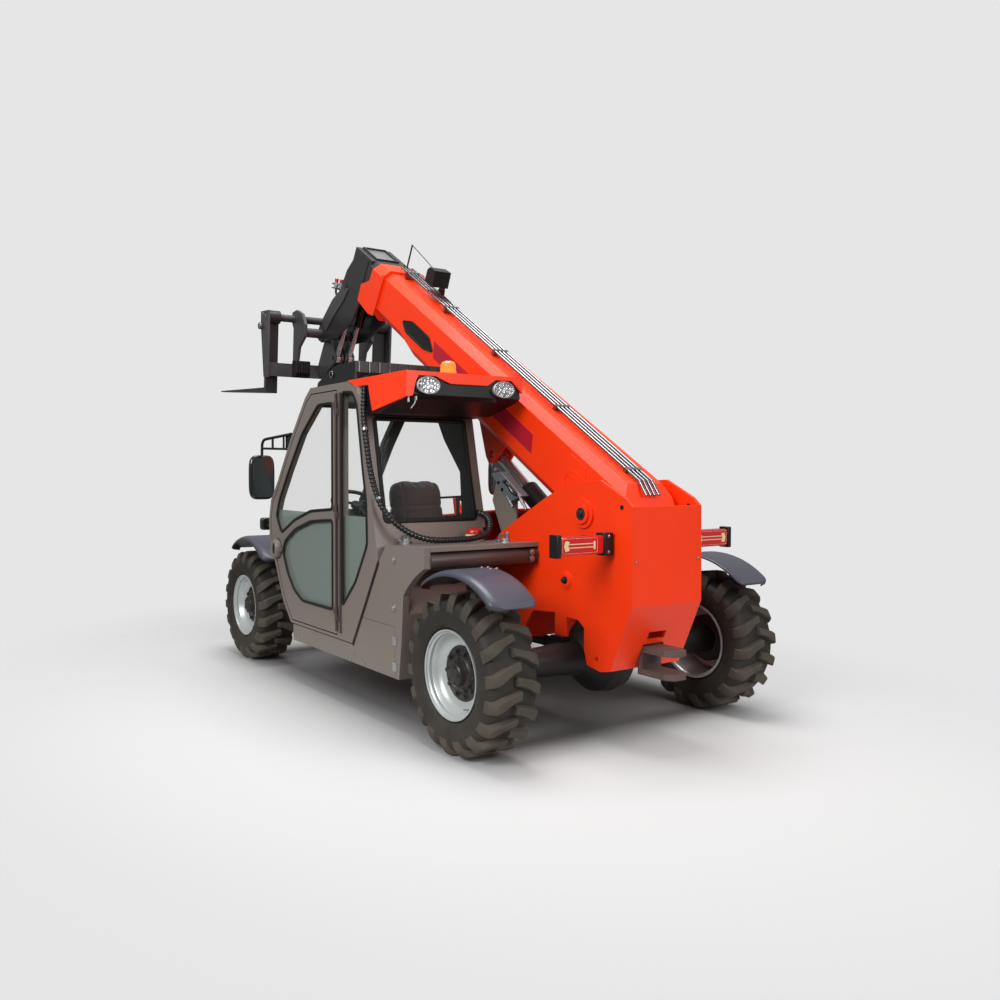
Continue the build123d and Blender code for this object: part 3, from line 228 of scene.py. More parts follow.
def lensMaterial(name, colour, ribs, glow=0.0):
    # a moulded lens: fine ribs under a clear gloss
    material, shader, place = startMaterial(name)
    x, z = place.axes()[::2]
    wave = (x * ribs).maths("SINE", x * ribs) * (z * ribs).maths("SINE", z * ribs)
    feed(shader, {"Base Color": blendHue((wave * 0.25 + 0.75).clamp(), hue("#300000"), hue(colour)),
                  "Roughness": 0.12, "Coat Weight": 1.0, "Coat Roughness": 0.03,
                  "Emission Color": hue(colour), "Emission Strength": glow,
                  "Normal": relief(place, wave, 0.3, 0.0006, 0.004)})
    return material


def ledMaterial(name):
    material, shader, place = startMaterial(name)
    cells = place.make("ShaderNodeTexVoronoi", None, {"Vector": place, "Scale": 55.0})
    feed(shader, {"Base Color": blendHue(cells, hue("#c9cdd0"), hue("#5d6266")), "Roughness": 0.15, "Metallic": 0.5,
                  "Coat Weight": 1.0, "Emission Color": hue("#ffffff"), "Emission Strength": 0.05,
                  "Normal": relief(place, cells, 0.8, 0.004, 0.0)})
    return material


def clothMaterial(name, colour, shade):
    # a plain weave: two crossed waves, with wool-like fuzz
    material, shader, place = startMaterial(name)
    x, y, z = place.axes()
    across, along = x * 900.0, (y + z) * 900.0
    weave = across.maths("SINE", across) * along.maths("SINE", along)
    fuzz = noise(place, 60.0, 6.0)
    feed(shader, {"Base Color": blendHue((weave * 0.3 + fuzz * 0.7).clamp(), hue(shade), hue(colour)),
                  "Roughness": 0.92, "Sheen Weight": 0.3, "Sheen Roughness": 0.5,
                  "Normal": relief(place, weave + fuzz, 0.5, 0.0006, 0.0)})
    return material


# the lower door glass carries a painted reflection
materials["windowGlass"] = glassMaterial("windowGlass", "#6c8279", 0.04,
                                         lambda x, y, z: (x > 0.972) * (z < 1.14))
materials["mirrorGlass"] = glassMaterial("mirrorGlass", "#2c3335", 1.0)
materials["lampRed"] = lensMaterial("lampRed", "#d4141c", 420.0, 0.15)
materials["lampAmber"] = lensMaterial("lampAmber", "#ff8a14", 500.0, 0.25)
materials["ledCells"] = ledMaterial("ledCells")
materials["seatCloth"] = clothMaterial("seatCloth", "#3e2628", "#1e1314")


def boomPaint():
    # the orange with a bare dark-red band along both sides, its front end slanted
    material, shader, place, tint = finishParts("boomPaint", finishes["machineOrange"])
    x, y, z = place.axes()
    s, height = boomValues["pivot"]
    back, up = y - (middleY + s), z - height
    along = up * boomSin - back * boomCos
    square = back * boomSin + up * boomCos
    band = between(square, -0.012, 0.088) * between(along - square * 0.5, 0.62, 1.84) * (abs(x) > 0.1685)
    feed(shader, {"Base Color": blendHue(band, tint, hue("#b0102a"))})
    return material


def zoned(name, base, zones):
    # one finish with other hues and metal inside zones, each a function of x, y, z
    material, shader, place, tint = finishParts(name, finishes[base])
    metal = None
    for zone, other in zones:
        mask = zone(*place.axes())
        tint = blendHue(mask, tint, hue(finishes[other][0]))
        shine = mask * finishes[other][3]
        metal = shine if metal is None else (metal * (1.0 - mask) + shine)
    feed(shader, {"Base Color": tint, "Metallic": metal})
    return material


def nearPost(x0, s0, radius, low):
    def zone(x, y, z):
        span = ((x - x0) * (x - x0) + (y - (middleY + s0)) * (y - (middleY + s0))) ** 0.5
        return (span < radius) * (z > low)
    return zone


def outward(low):
    return lambda x, y, z: (x > low) + (x < -low)


def spot(s0, z0, radius):  # a round patch on a side plate
    def zone(x, y, z):
        return ((y - (middleY + s0)) * (y - (middleY + s0)) + (z - z0) * (z - z0)) ** 0.5 < radius
    return zone


materials["boomPaint"] = boomPaint()
# painted shade: a dark disc on the frame plate where a hole would show dark
materials["framePaint"] = zoned("framePaint", "machineOrange", [(spot(1.775, 1.224, 0.0125), "sealRubber")])
materials["pinPaint"] = zoned("pinPaint", "machineOrange", [
    (spot(1.505, 1.182, 0.033), "headBlack"), (spot(1.37, 0.823, 0.021), "headBlack")])
materials["deckPaint"] = zoned("deckPaint", "cabTaupe", [
    (nearPost(0.84, 0.705, 0.036, 0.9915), "zincPlate"), (nearPost(0.385, 1.02, 0.036, 0.9995), "zincPlate"),
    (nearPost(0.385, 0.73, 0.045, 0.9985), "zincPlate"), (nearPost(0.385, 0.73, 0.045, 1.018), "capRed"),
    (outward(1.0006), "zincPlate")])
materials["doorPaint"] = zoned("doorPaint", "cabTaupe", [
    (lambda x, y, z: (x > 1.0006) * (y > middleY + 0.12), "tubeBrown")])


def cabPaint():
    # taupe outside; every face that looks at the cab's middle is painted near-black, a painted shade inside the cab
    material, shader, place, tint = finishParts("cabPaint", finishes["cabTaupe"])
    inwards = place.make("ShaderNodeVectorMath", {"operation": "SUBTRACT"},
                         {0: at(0.615, -0.12, 1.15), 1: place})
    normal = place.make("ShaderNodeNewGeometry", out="Normal")
    facing = place.make("ShaderNodeVectorMath", {"operation": "DOT_PRODUCT"}, {0: inwards, 1: normal}, out="Value")
    x, y = place.axes()[:2]
    hinges = (x > 1.0006) * (y > middleY + 0.17)
    tint = blendHue(hinges, tint, hue(finishes["tubeBrown"][0]))
    # painted shade: faces that look into the cab turn near-black
    feed(shader, {"Base Color": blendHue(facing > 0.0, tint, hue("#101413"))})
    return material


materials["cabPaint"] = cabPaint()
nodeFinish = {
    "machineOrange": ["cross_members", "rear_plate", "cab_roof", "hood"],
    "framePaint": ["frame_left", "frame_right"],
    "pinPaint": ["boom_pins"],
    "boomPaint": ["boom_outer"],
    "cabPaint": ["cab_frame"],
    "doorPaint": ["door"],
    "deckPaint": ["side_deck"],
    "cabTaupe": ["right_skirt"],
    "tubeBrown": ["cross_tank"],
    "mudguardGrey": ["fender_" + c for c in corners],
    "headBlack": ["boom_head", "boom_inner", "forks", "tilt_barrels", "lift_barrel"],
    "plateGrey": ["carriage"],
    "underBlack": ["front_axle", "rear_axle", "knuckle_front_left", "knuckle_front_right", "frame_brackets"],
    "trimBlack": ["roof_guard", "console", "mirrors", "boom_lamp", "cab_hose"],
    "rodChrome": ["lift_rod", "tilt_rods"],
    "pipeSteel": ["boom_pipes"],
    "hitchPrimer": ["tow_hitch"],
    "engineIron": ["engine_block"],
    "alloyGrey": ["valve_block"],
    "windowGlass": ["cab_glass", "door_glass"],
    "seatCloth": ["seat"],
    "lampRed": ["tail_lamps"],
    "ledCells": ["work_lamps"],
    "lampAmber": ["beacon"],
    "rimSilver": ["wheel_" + c for c in corners],
    "sidewallRubber": ["tyre_" + c for c in corners],
}
for finish, names in nodeFinish.items():
    for name in names:
        for slot in nodes[name].material_slots:
            slot.material = materials[finish]
print("materials made:", len(materials))


# mesh helpers
def gridFaces(rows, columns, roundRows=False, roundColumns=False):
    # quads of a grid of points given row by row; a round direction joins its last line to its first
    r = np.arange(rows if roundRows else rows - 1)[:, None]
    c = np.arange(columns if roundColumns else columns - 1)[None, :]
    nextRow, nextColumn = (r + 1) % rows, (c + 1) % columns
    quad = [r * columns + c, r * columns + nextColumn, nextRow * columns + nextColumn, nextRow * columns + c]
    return np.stack(np.broadcast_arrays(*quad), -1).reshape(-1, 4)


def addPiece(name, shape, finish, body="chassis", slot=None, sharp=35.0, thick=0.0, bevel=0.0):
    # the shape is (points, faces), or a list of such parts
    points, faces = joined(shape) if isinstance(shape, list) else shape
    mesh = bpy.data.meshes.new(name)
    mesh.from_pydata(np.asarray(points, float).reshape(-1, 3).tolist(), [], [list(map(int, f)) for f in faces])
    work = bmesh.new()
    work.from_mesh(mesh)
    bmesh.ops.remove_doubles(work, verts=work.verts, dist=0.00002)
    bmesh.ops.dissolve_degenerate(work, edges=work.edges, dist=0.00001)
    bmesh.ops.recalc_face_normals(work, faces=work.faces)
    work.to_mesh(mesh)
    work.free()
    mesh.shade_smooth()
    mesh.set_sharp_from_angle(angle=math.radians(sharp))
    mesh.materials.append(materials[finish])
    piece = bpy.data.objects.new(name, mesh)
    bpy.context.scene.collection.objects.link(piece)
    if thick:
        wall = piece.modifiers.new("wall", "SOLIDIFY")
        wall.thickness = thick
        wall.offset = -1.0
    if bevel:
        edge = piece.modifiers.new("edge", "BEVEL")
        edge.width = bevel
        edge.segments = 2
        edge.limit_method = "ANGLE"
    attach(piece, body)
    return piece


def joined(parts):
    # several (points, faces) as one, the faces' numbers moved on
    points, faces, start = [], [], 0
    for shape, quads in parts:
        shape = np.asarray(shape, float).reshape(-1, 3)
        points.append(shape)
        faces += [[int(v) + start for v in quad] for quad in quads]
        start += len(shape)
    return np.concatenate(points), faces


def squareTo(axis):  # the axis at length one, and two directions square to it
    axis = np.array(axis, float) / np.linalg.norm(axis)
    across = np.cross(axis, (0.0, 0.0, 1.0) if abs(axis[2]) < 0.9 else (1.0, 0.0, 0.0))
    across /= np.linalg.norm(across)
    other = np.cross(axis, across)
    return axis, across, other


def turned(profile, centre, axis=(1, 0, 0), steps=64):
    # a profile of (along, radius) turned about an axis through centre:
    # point = centre + along * axis + radius * (cos t * across + sin t * other)
    axis, across, other = squareTo(axis)
    profile = np.array(profile, float)
    t = np.linspace(0, 2 * np.pi, steps, endpoint=False)
    ring = np.cos(t)[None, :, None] * across + np.sin(t)[None, :, None] * other
    points = np.array(centre, float) + profile[:, 0, None, None] * axis + profile[:, 1, None, None] * ring
    return points, list(gridFaces(len(profile), steps, roundColumns=True))


def peg(profile, centre, axis=(1, 0, 0), steps=64):  # a turned profile closed to its axis at both ends
    return turned([(profile[0][0], 0.0), *profile, (profile[-1][0], 0.0)], centre, axis, steps)


def smoothLine(knots, count, closed=False):
    # a Catmull-Rom curve through the knots: each span blends its four neighbours by cubic weights
    knots = np.array(knots, float)
    if closed:
        spans = len(knots)
        padded = np.concatenate([knots[-1:], knots, knots[:2]])
    else:
        spans = len(knots) - 1
        padded = np.concatenate([2 * knots[:1] - knots[1:2], knots, 2 * knots[-1:] - knots[-2:-1]])
    u = np.linspace(0, spans, count, endpoint=not closed)
    i = np.minimum(u.astype(int), spans - 1)
    t = (u - i)[:, None]
    a, b, c, d = (padded[i + k] for k in range(4))
    return 0.5 * (2 * b + (c - a) * t + (2 * a - 5 * b + 4 * c - d) * t ** 2 + (3 * b - 3 * c + d - a) * t ** 3)


def roundedLoop(corners, radius, closed=True, steps=5):
    # a polygon whose corners are replaced by parabolic arcs: (1-t)^2 in + 2t(1-t) corner + t^2 out
    corners = np.array(corners, float)
    before, after = np.roll(corners, 1, 0), np.roll(corners, -1, 0)
    t = np.linspace(0, 1, steps)[None, :, None]

    def towards(other):
        run = other - corners
        length = np.linalg.norm(run, axis=1, keepdims=True)
        return corners + run / length * np.minimum(radius, 0.45 * length)

    start, end = towards(before)[:, None], towards(after)[:, None]
    arcs = (1 - t) ** 2 * start + 2 * t * (1 - t) * corners[:, None] + t ** 2 * end
    if closed:
        return arcs.reshape(-1, 3)
    return np.concatenate([corners[:1], arcs[1:-1].reshape(-1, 3), corners[-1:]])


def carried(path, section, up, closed=False, capped=True):
    # a section carried along a path: point = path + section x * side + section y * lift, where side is square
    # to the path and to up, lift is square to both, and side is stretched at corners so that walls keep width
    path = np.array(path, float)
    section = np.array(section, float)
    if closed:
        ahead = np.roll(path, -1, 0) - path
        behind = path - np.roll(path, 1, 0)
    else:
        ahead = np.diff(path, axis=0, append=(2 * path[-1:] - path[-2:-1]))
        behind = np.diff(path, axis=0, prepend=(2 * path[:1] - path[1:2]))
    ahead /= np.linalg.norm(ahead, axis=1, keepdims=True)
    behind /= np.linalg.norm(behind, axis=1, keepdims=True)
    line = ahead + behind
    line /= np.linalg.norm(line, axis=1, keepdims=True)
    side = np.cross(line, np.array(up, float))
    side /= np.linalg.norm(side, axis=1, keepdims=True)
    lift = np.cross(side, line)
    stretch = 1 / np.clip((ahead * line).sum(1), 0.5, 1)
    points = (path[:, None] + section[None, :, 0, None] * (side * stretch[:, None])[:, None]
              + section[None, :, 1, None] * lift[:, None])
    faces = list(gridFaces(len(path), len(section), roundRows=closed, roundColumns=True))
    if capped and not closed:
        count = len(section)
        faces += [list(range(count))[::-1], [len(path) * count - count + k for k in range(count)]]
    return points, faces


def circle(radius, steps=12):
    t = np.linspace(0, 2 * np.pi, steps, endpoint=False)
    return np.stack([radius * np.cos(t), radius * np.sin(t)], 1)


def bar(corners, radius, bend=0.04, up=(0.3, 0.2, 0.93), steps=12):
    return carried(roundedLoop(corners, bend, closed=False, steps=7), circle(radius, steps), up)


def plate(outline, depth):
    # a flat outline pushed by a vector: two faces and a wall between them
    outline = np.array(outline, float)
    count = len(outline)
    points = np.concatenate([outline, outline + np.array(depth, float)])
    faces = [list(range(count)), list(range(count, 2 * count))[::-1]]
    faces += [[i, (i + 1) % count, count + (i + 1) % count, count + i] for i in range(count)]
    return points, faces


def rectangle(low, high, bottom, top):
    return [(low, bottom), (high, bottom), (high, top), (low, top)]


def sidePlate(x, outline, deep):  # a plate square to x, from stations and heights
    return plate([at(x, s, z) for s, z in outline], (deep, 0, 0))


def crossPlate(s, outline, deep):  # a plate square to the machine's length, from x and heights
    return plate([at(x, s, z) for x, z in outline], (0, deep, 0))


def boltHeads(places, axis, radius=0.009, height=0.007):
    # six-sided heads on washers: ring radius = radius / cos(angle from the nearest flat's middle)
    axis, across, other = squareTo(axis)
    t = np.linspace(0, 2 * np.pi, 12, endpoint=False)
    hexagon = 0.92 / np.cos((t + np.pi / 6) % (np.pi / 3) - np.pi / 6)
    rings = [(-0.1, 1.45, 0), (0.16, 1.45, 0), (0.2, 1.36, 0), (0.2, 1.0, 1), (0.9, 1.0, 1), (1.0, 0.88, 1),
             (1.0, 0.0, 0)]
    ring = np.cos(t)[:, None] * across + np.sin(t)[:, None] * other
    rows = [height * up * axis + radius * wide * (hexagon[:, None] if flat else 1) * ring for up, wide, flat in rings]
    head = np.stack(rows).reshape(-1, 3)
    faces = gridFaces(len(rings), 12, roundColumns=True)
    return joined([(head + np.array(place, float), faces) for place in places])


# tyres: a turned carcass with bars from the middle to each shoulder
tyreValues = {"radius": 0.402, "lugs": 18, "lugHalf": 0.0225, "lean": 0.066, "foot": 0.009, "steps": 144}
carcassKnots = [  # across from the middle, radius
    (0.098, 0.2125), (0.112, 0.214), (0.1165, 0.221), (0.118, 0.23), (0.129, 0.2365), (0.14, 0.256),
    (0.1455, 0.286), (0.1445, 0.318), (0.137, 0.344), (0.119, 0.362), (0.08, 0.371), (0.03, 0.374),
    (0.0, 0.3745)]


def carcassProfile():
    half = smoothLine(carcassKnots, 34)
    mirrored = half[::-1] * (-1, 1)
    inner = np.array([(-0.098, 0.222), (0.098, 0.222)])
    return np.concatenate([half, mirrored[1:], inner])


def lugGrid(side):
    # one bar: rows run from the tread's middle to the shoulder, columns over its back and down both flanks;
    # tread angle = (middle line + offset) / radius, height = foot + (top - foot) * share
    v = tyreValues
    u = np.array([0, 0, 0.12, 0.26, 0.4, 0.54, 0.66, 0.76, 0.84, 0.91, 0.96, 1.0, 1.0])
    x = -0.012 + u * 0.1585
    x[0] -= 0.006
    x[-1] = 0.144
    middle = -0.03 + v["lean"] * (0.25 * u + 0.75 * u ** 1.5)
    half = v["lugHalf"] * (0.84 + 0.4 / (1 + np.exp((0.5 - u) * 18)))
    top = np.where(x < 0.112, 0.4018, 0.4018 - 0.052 * ((x - 0.112) / 0.0345) ** 1.6)
    shoulder = smoothLine(carcassKnots, 60)[::-1]
    shoulder = shoulder[:np.argmax(shoulder[:, 0]) + 1]
    foot = np.interp(x, shoulder[:, 0], shoulder[:, 1]) - 0.006
    foot[-3:] = (0.335, 0.318, 0.312)
    share = np.array([0, 0.86, 1, 1, 1, 0.86, 0])
    share = np.tile(share, (len(u), 1))
    share[0] = share[-1] = 0
    offset = np.array([-1, -1, -0.86, 0, 0.86, 1, 1])[None, :] * half[:, None]
    offset = offset + np.array([-1, -0.2, 0, 0, 0, 0.2, 1])[None, :] * v["foot"]
    radius = foot[:, None] + (top - foot)[:, None] * share
    angle = (middle[:, None] + offset) / v["radius"]
    across = side * np.tile(x[:, None], (1, share.shape[1]))
    return across, radius, angle


def tyre(corner):
    centre = np.array(middleOf("tyre_" + corner))
    hand = 1 if "left" in corner else -1
    profile = carcassProfile() * (hand, 1)
    points = turned(profile, centre, steps=tyreValues["steps"])[0]
    carcass = addPiece("tyreCarcass_" + corner, (points, gridFaces(len(profile), tyreValues["steps"], True, True)),
                       "sidewallRubber", "wheel_" + corner, "tyre", sharp=50)
    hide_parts("tyre_" + corner)
    bars = []
    for side, lead in ((1, 0.0), (-1, 0.5)):
        across, radius, angle = lugGrid(side * hand)
        for i in range(tyreValues["lugs"]):
            turn = angle + (i + lead) * 2 * np.pi / tyreValues["lugs"]
            bars.append((centre + np.stack([across, radius * np.sin(turn), radius * np.cos(turn)], -1),
                         gridFaces(*across.shape)))
    addPiece("tyreBars_" + corner, bars, "treadRubber", "wheel_" + corner, "tyre", sharp=28)


# rims: a stepped dish, a black hub face, nuts and a valve
rimValues = {"nuts": 10, "nutCircle": 0.113, "hub": 0.14}
rimKnots = [  # across outward from the wheel's middle, radius
    (-0.128, 0.214), (-0.128, 0.224), (-0.12, 0.2235), (-0.113, 0.21), (0.113, 0.21), (0.12, 0.2235),
    (0.1285, 0.2235), (0.1295, 0.219), (0.127, 0.215), (0.119, 0.2125), (0.112, 0.2035), (0.098, 0.201),
    (0.094, 0.1965), (0.076, 0.19), (0.06, 0.178), (0.053, 0.165), (0.048, 0.145), (0.047, 0.138),
    (0.033, 0.138), (0.033, 0.15), (0.045, 0.18), (0.07, 0.196), (-0.11, 0.2), (-0.126, 0.21)]
hubKnots = [
    (0.03, 0.1395), (0.05, 0.1395), (0.0525, 0.137), (0.0525, 0.096), (0.062, 0.092), (0.07, 0.084),
    (0.073, 0.064), (0.098, 0.058), (0.104, 0.052), (0.106, 0.036), (0.1085, 0.034), (0.1095, 0.0)]


def rim(corner):
    centre = np.array(middleOf("tyre_" + corner))
    hand = 1 if "left" in corner else -1
    body = "wheel_" + corner
    points = turned(np.array(rimKnots) * (hand, 1), centre, steps=128)[0]
    dish = addPiece("rimDish_" + corner, (points, gridFaces(len(rimKnots), 128, True, True)), "rimSilver", body,
                    "wheel_paint", sharp=32)
    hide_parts("wheel_" + corner)
    back = [(-0.02, 0.05), (-0.02, 0.084), (0.0, 0.1395), (0.03, 0.1395)]
    addPiece("hubFace_" + corner, turned(np.array(back + hubKnots) * (hand, 1), centre, steps=96), "hubBlack", body,
             "wheel_paint", sharp=30)
    t = np.arange(rimValues["nuts"]) * 2 * np.pi / rimValues["nuts"]
    nutRows = [(rimValues["nutCircle"], 0.0525, 0.0105, 0.018, t), (0.0785, 0.0715, 0.006, 0.008, t[::2] + 0.3),
               (0.045, 0.105, 0.0045, 0.006, t[::2])]
    heads = [boltHeads(centre
                       + np.stack([hand * out * np.ones_like(turn), ring * np.cos(turn), ring * np.sin(turn)], 1),
                       (hand, 0, 0), size, tall) for ring, out, size, tall, turn in nutRows]
    addPiece("wheelNuts_" + corner, heads, "hubBlack", body, "wheel_paint", sharp=30)
    valve = [centre + (hand * x, r * 0.5, -r * 0.866) for x, r in ((0.066, 0.184), (0.086, 0.183), (0.104, 0.178))]
    addPiece("valve_" + corner, bar(valve, 0.0045, 0.01, steps=8), "zincPlate", body)


for corner in corners:
    tyre(corner)
    rim(corner)
print("tyres and rims made")


# mudguards: a sheet over the tyre with its outer edge rolled down, and its bracket
guardValues = {"inner": 0.722, "outer": 1.0, "radius": 0.516, "roll": 0.03, "from": 45.0, "to": 128.0,
               "thick": 0.006, "post": 0.694, "reach": 0.8, "shelf": 0.741, "foot": (0.502, 0.586),
               "studs": (0.735, 0.775)}


def mudguard(corner):
    # t runs over the tyre, u outward: radius = R - roll * (1 - sqrt(1 - e^2)), e = how far u is into the rolled
    # edge; the sheet narrows at both ends by the same rounding
    v = guardValues
    hand = 1 if "left" in corner else -1
    steered = "front" in corner
    body = "knuckle_" + corner if steered else "chassis"
    centre = np.array(middleOf("tyre_" + corner))
    t = np.linspace(0, 1, 61)[:, None]
    u = np.linspace(0, 1, 25)[None, :]
    end = np.clip(np.abs(2 * t - 1) - 0.84, 0, 0.16) / 0.16
    narrow = 0.085 * (1 - np.sqrt(1 - np.minimum(end, 0.999) ** 2))
    x = v["inner"] + narrow * 0.6 + u * (v["outer"] - v["inner"] - narrow * 1.6)
    edge = np.clip(u - 0.8, 0, 0.2) / 0.2
    rolled = v["roll"] * (1 - np.sqrt(1 - np.minimum(edge, 0.999) ** 2))
    edgeIn = np.clip(0.1 - u, 0, 0.1) / 0.1
    rolled = rolled + 0.01 * edgeIn ** 2
    radius = v["radius"] - rolled
    angle = np.radians(v["from"] + (v["to"] - v["from"]) * t)
    points = np.stack(np.broadcast_arrays(hand * x, radius * np.cos(angle), radius * np.sin(angle)), -1)
    points[..., 0] -= centre[0]
    sheet = addPiece("mudguardSheet_" + corner, (points + centre, gridFaces(61, 25)), "mudguardGrey", body,
                     "guard_grey", sharp=60, thick=v["thick"])
    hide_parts("fender_" + corner)
    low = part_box("fender_" + corner)[0].z
    foot = low if low < 0.45 else v["foot"][steered]
    top = centre[2] + v["radius"] - 0.014
    channel = [(-0.026, 0.008), (0.026, 0.008), (0.026, -0.008), (0.02, -0.008), (0.02, 0.003), (-0.02, 0.003),
               (-0.02, -0.008), (-0.026, -0.008)]
    post = hand * v["post"]
    path = [(post, centre[1], foot), (post, centre[1], top), (hand * v["reach"], centre[1], top)]
    parts = [carried(roundedLoop(path, 0.02, closed=False), channel, (-hand, 0, 0.001))]
    if steered:
        shelf = [(post, centre[1], foot + 0.006), (hand * v["shelf"], centre[1], foot + 0.006)]
        parts.append(carried(shelf, rectangle(-0.028, 0.028, -0.006, 0.006), (0, 0, 1)))
    addPiece("mudguardBracket_" + corner, parts, "underBlack", body, "guard_grey", sharp=30)
    studs = [centre + (hand * out - centre[0], v["radius"] * math.cos(a), v["radius"] * math.sin(a))
             for out in v["studs"] for a in (math.radians(86), math.radians(94))]
    addPiece("mudguardStuds_" + corner, boltHeads(studs, (0, 0, 1), 0.006, 0.004), "zincPlate", body)


for corner in corners:
    mudguard(corner)
print("mudguards made")


# cab hose: a corrugated tube along the route
hoseValues = {"radius": 0.0185, "groove": 0.005, "pitch": 0.0225, "sides": 20, "length": 1.687,
              "clips": [(1.02, 0.55, 1.64), (0.985, 0.63, 1.25)]}
hoseRoute = [  # across, station, height
    (0.993, 0.5, 1.8898), (0.996, 0.497, 1.825), (1.01, 0.515, 1.74), (1.02, 0.55, 1.64),
    (1.022, 0.58, 1.53), (1.015, 0.598, 1.42), (1.0, 0.618, 1.315), (0.975, 0.645, 1.215),
    (0.93, 0.69, 1.13), (0.862, 0.745, 1.065), (0.78, 0.79, 1.026), (0.69, 0.812, 1.016),
    (0.59, 0.82, 1.016), (0.49, 0.822, 1.017), (0.4, 0.815, 1.025), (0.33, 0.79, 1.052),
    (0.29, 0.755, 1.093), (0.272, 0.708, 1.128), (0.265, 0.6603, 1.145), (0.265, 0.6253, 1.15)]


def splineLine(name, route):
    # the points of a NURBS line that has the route as its control points
    curve = bpy.data.curves.new(name, "CURVE")
    curve.dimensions = "3D"
    curve.resolution_u = 16
    spline = curve.splines.new("NURBS")
    spline.points.add(len(route) - 1)
    for point, place in zip(spline.points, route):
        point.co = (*at(*place), 1.0)
    spline.order_u = 3
    spline.use_endpoint_u = True
    holder = bpy.data.objects.new(name, curve)
    bpy.context.scene.collection.objects.link(holder)
    bpy.context.view_layer.update()
    line = bpy.data.meshes.new_from_object(holder)
    points = np.array([vertex.co for vertex in line.vertices])
    bpy.data.objects.remove(holder)
    return points


def cabHose():
    # point = line(s) + r(s) * (cos t * side + sin t * lift), r = radius - groove * (1 - cos(2 pi s / pitch)) / 2
    v = hoseValues
    line = splineLine("hoseLine", hoseRoute)
    reach = np.concatenate([[0], np.cumsum(np.linalg.norm(np.diff(line, axis=0), axis=1))])
    length = reach[-1]
    s = np.linspace(0, length, int(length / v["pitch"] * 8))
    path = np.stack([np.interp(s, reach, line[:, k]) for k in range(3)], 1)
    points, faces = carried(path, circle(1.0, v["sides"]), (1, 1, 1))
    wave = (1 - np.cos(2 * np.pi * s / v["pitch"])) / 2
    radius = v["radius"] - v["groove"] * wave ** 1.6
    points = path[:, None] + (points - path[:, None]) * radius[:, None, None]
    hose = addPiece("cabHose", (points, faces), "hoseBlack", "chassis", "trim_black", sharp=70)
    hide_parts("cab_hose")
    at(*hoseRoute[0])
    rings = []
    inside, outside = v["radius"] + 0.0003, v["radius"] + 0.0021
    for clip in v["clips"]:
        k = int(np.argmin(np.linalg.norm(path - np.array(at(*clip)), axis=1)))
        band = [(-0.007, inside), (-0.007, outside), (0.007, outside), (0.007, inside)]
        rings.append(turned(band, path[k], path[k + 1] - path[k - 1], 24))
    addPiece("hoseClips", rings, "zincPlate")
    print("cab hose length", round(length, 3))


cabHose()


# window seals: a rounded rubber strip round each pane
sealSection = [(-0.009, -0.002), (-0.009, 0.003), (-0.006, 0.0055), (0.006, 0.0055), (0.009, 0.003), (0.009, -0.002)]
paneEdges = {  # station, height
    "upperLight": [(-0.09, 1.816), (0.105, 1.816), (0.105, 1.172), (-0.2, 1.15), (-0.45, 1.08),
                   (-0.66, 0.985), (-0.745, 1.1), (-0.69, 1.21), (-0.54, 1.4), (-0.33, 1.64)],
    "lowerLight": [(0.105, 1.106), (-0.2, 1.084), (-0.44, 1.02), (-0.6, 0.935), (-0.64, 0.86),
                   (-0.56, 0.72), (-0.46, 0.62), (-0.33, 0.56), (0.105, 0.56)],
    "quarterPane": [(0.235, 0.6), (0.235, 1.872), (0.365, 1.862), (0.42, 1.79), (0.49, 1.41),
                    (0.53, 1.23), (0.54, 0.985), (0.4, 0.76)],
    "rightPane": [(-0.8, 1.1), (-0.68, 1.31), (-0.48, 1.575), (-0.25, 1.83), (0.3, 1.83),
                  (0.4, 1.78), (0.48, 1.41), (0.545, 1.11)],
}
for name, x, body in (("upperLight", 1.0, "cab_door"), ("lowerLight", 1.0, "cab_door"),
                      ("quarterPane", 1.0, "chassis"), ("rightPane", 0.23, "chassis")):
    out = 1 if x > 0.5 else -1
    loop = roundedLoop([at(x, s, z) for s, z in paneEdges[name]], 0.03)
    addPiece("seal_" + name, carried(loop, sealSection, (out, 0, 0), closed=True), "sealRubber", body, "trim_black",
             sharp=40)


def rearSeal():
    low, high = 1.12, 1.705
    slope = (0.55 - 0.618) / (1.41 - 1.1)

    def edge(z):
        return 0.55 + (z - 1.41) * slope if z < 1.41 else 0.55 + (z - 1.41) * (0.468 - 0.55) / 0.4

    loop = [at(x, edge(z) + 0.001, z) for x, z in ((0.3, low), (0.925, low), (0.925, 1.41), (0.925, high),
                                                    (0.3, high), (0.3, 1.41))]
    addPiece("seal_rearPane",
             carried(roundedLoop(loop, 0.02), np.array(sealSection) * (1.4, 1), (0, 0.98, 0.2), closed=True),
             "sealRubber", "chassis", "trim_black", sharp=40)


rearSeal()
print("seals made")


# seat: padded cushion and back with sewn channels, on a bellows
def pad(size, crown, power, waist, steps=(33, 48)):
    # a pillow: a rounded box whose faces swell by crown and narrow by waist between the corners;
    # scale = (|x|^p + |y|^p + |z|^p)^(-1/p) on each direction of the ball
    a = np.linspace(0, 2 * np.pi, steps[1], endpoint=False)[None, :]
    b = np.linspace(-np.pi / 2, np.pi / 2, steps[0])[:, None]
    ball = np.stack(np.broadcast_arrays(np.cos(b) * np.cos(a), np.cos(b) * np.sin(a), np.sin(b)), -1)
    shape = ball * (np.abs(ball) ** power).sum(-1, keepdims=True) ** (-1 / power)
    x, y = shape[..., :1], shape[..., 1:2]
    swell = np.concatenate([1 - waist * (1 - y ** 2), 1 - waist * (1 - x ** 2),
                            1 + crown * (1 - x ** 2) * (1 - y ** 2)], -1)
    return shape * swell * np.array(size) / 2, gridFaces(*steps, roundColumns=True)


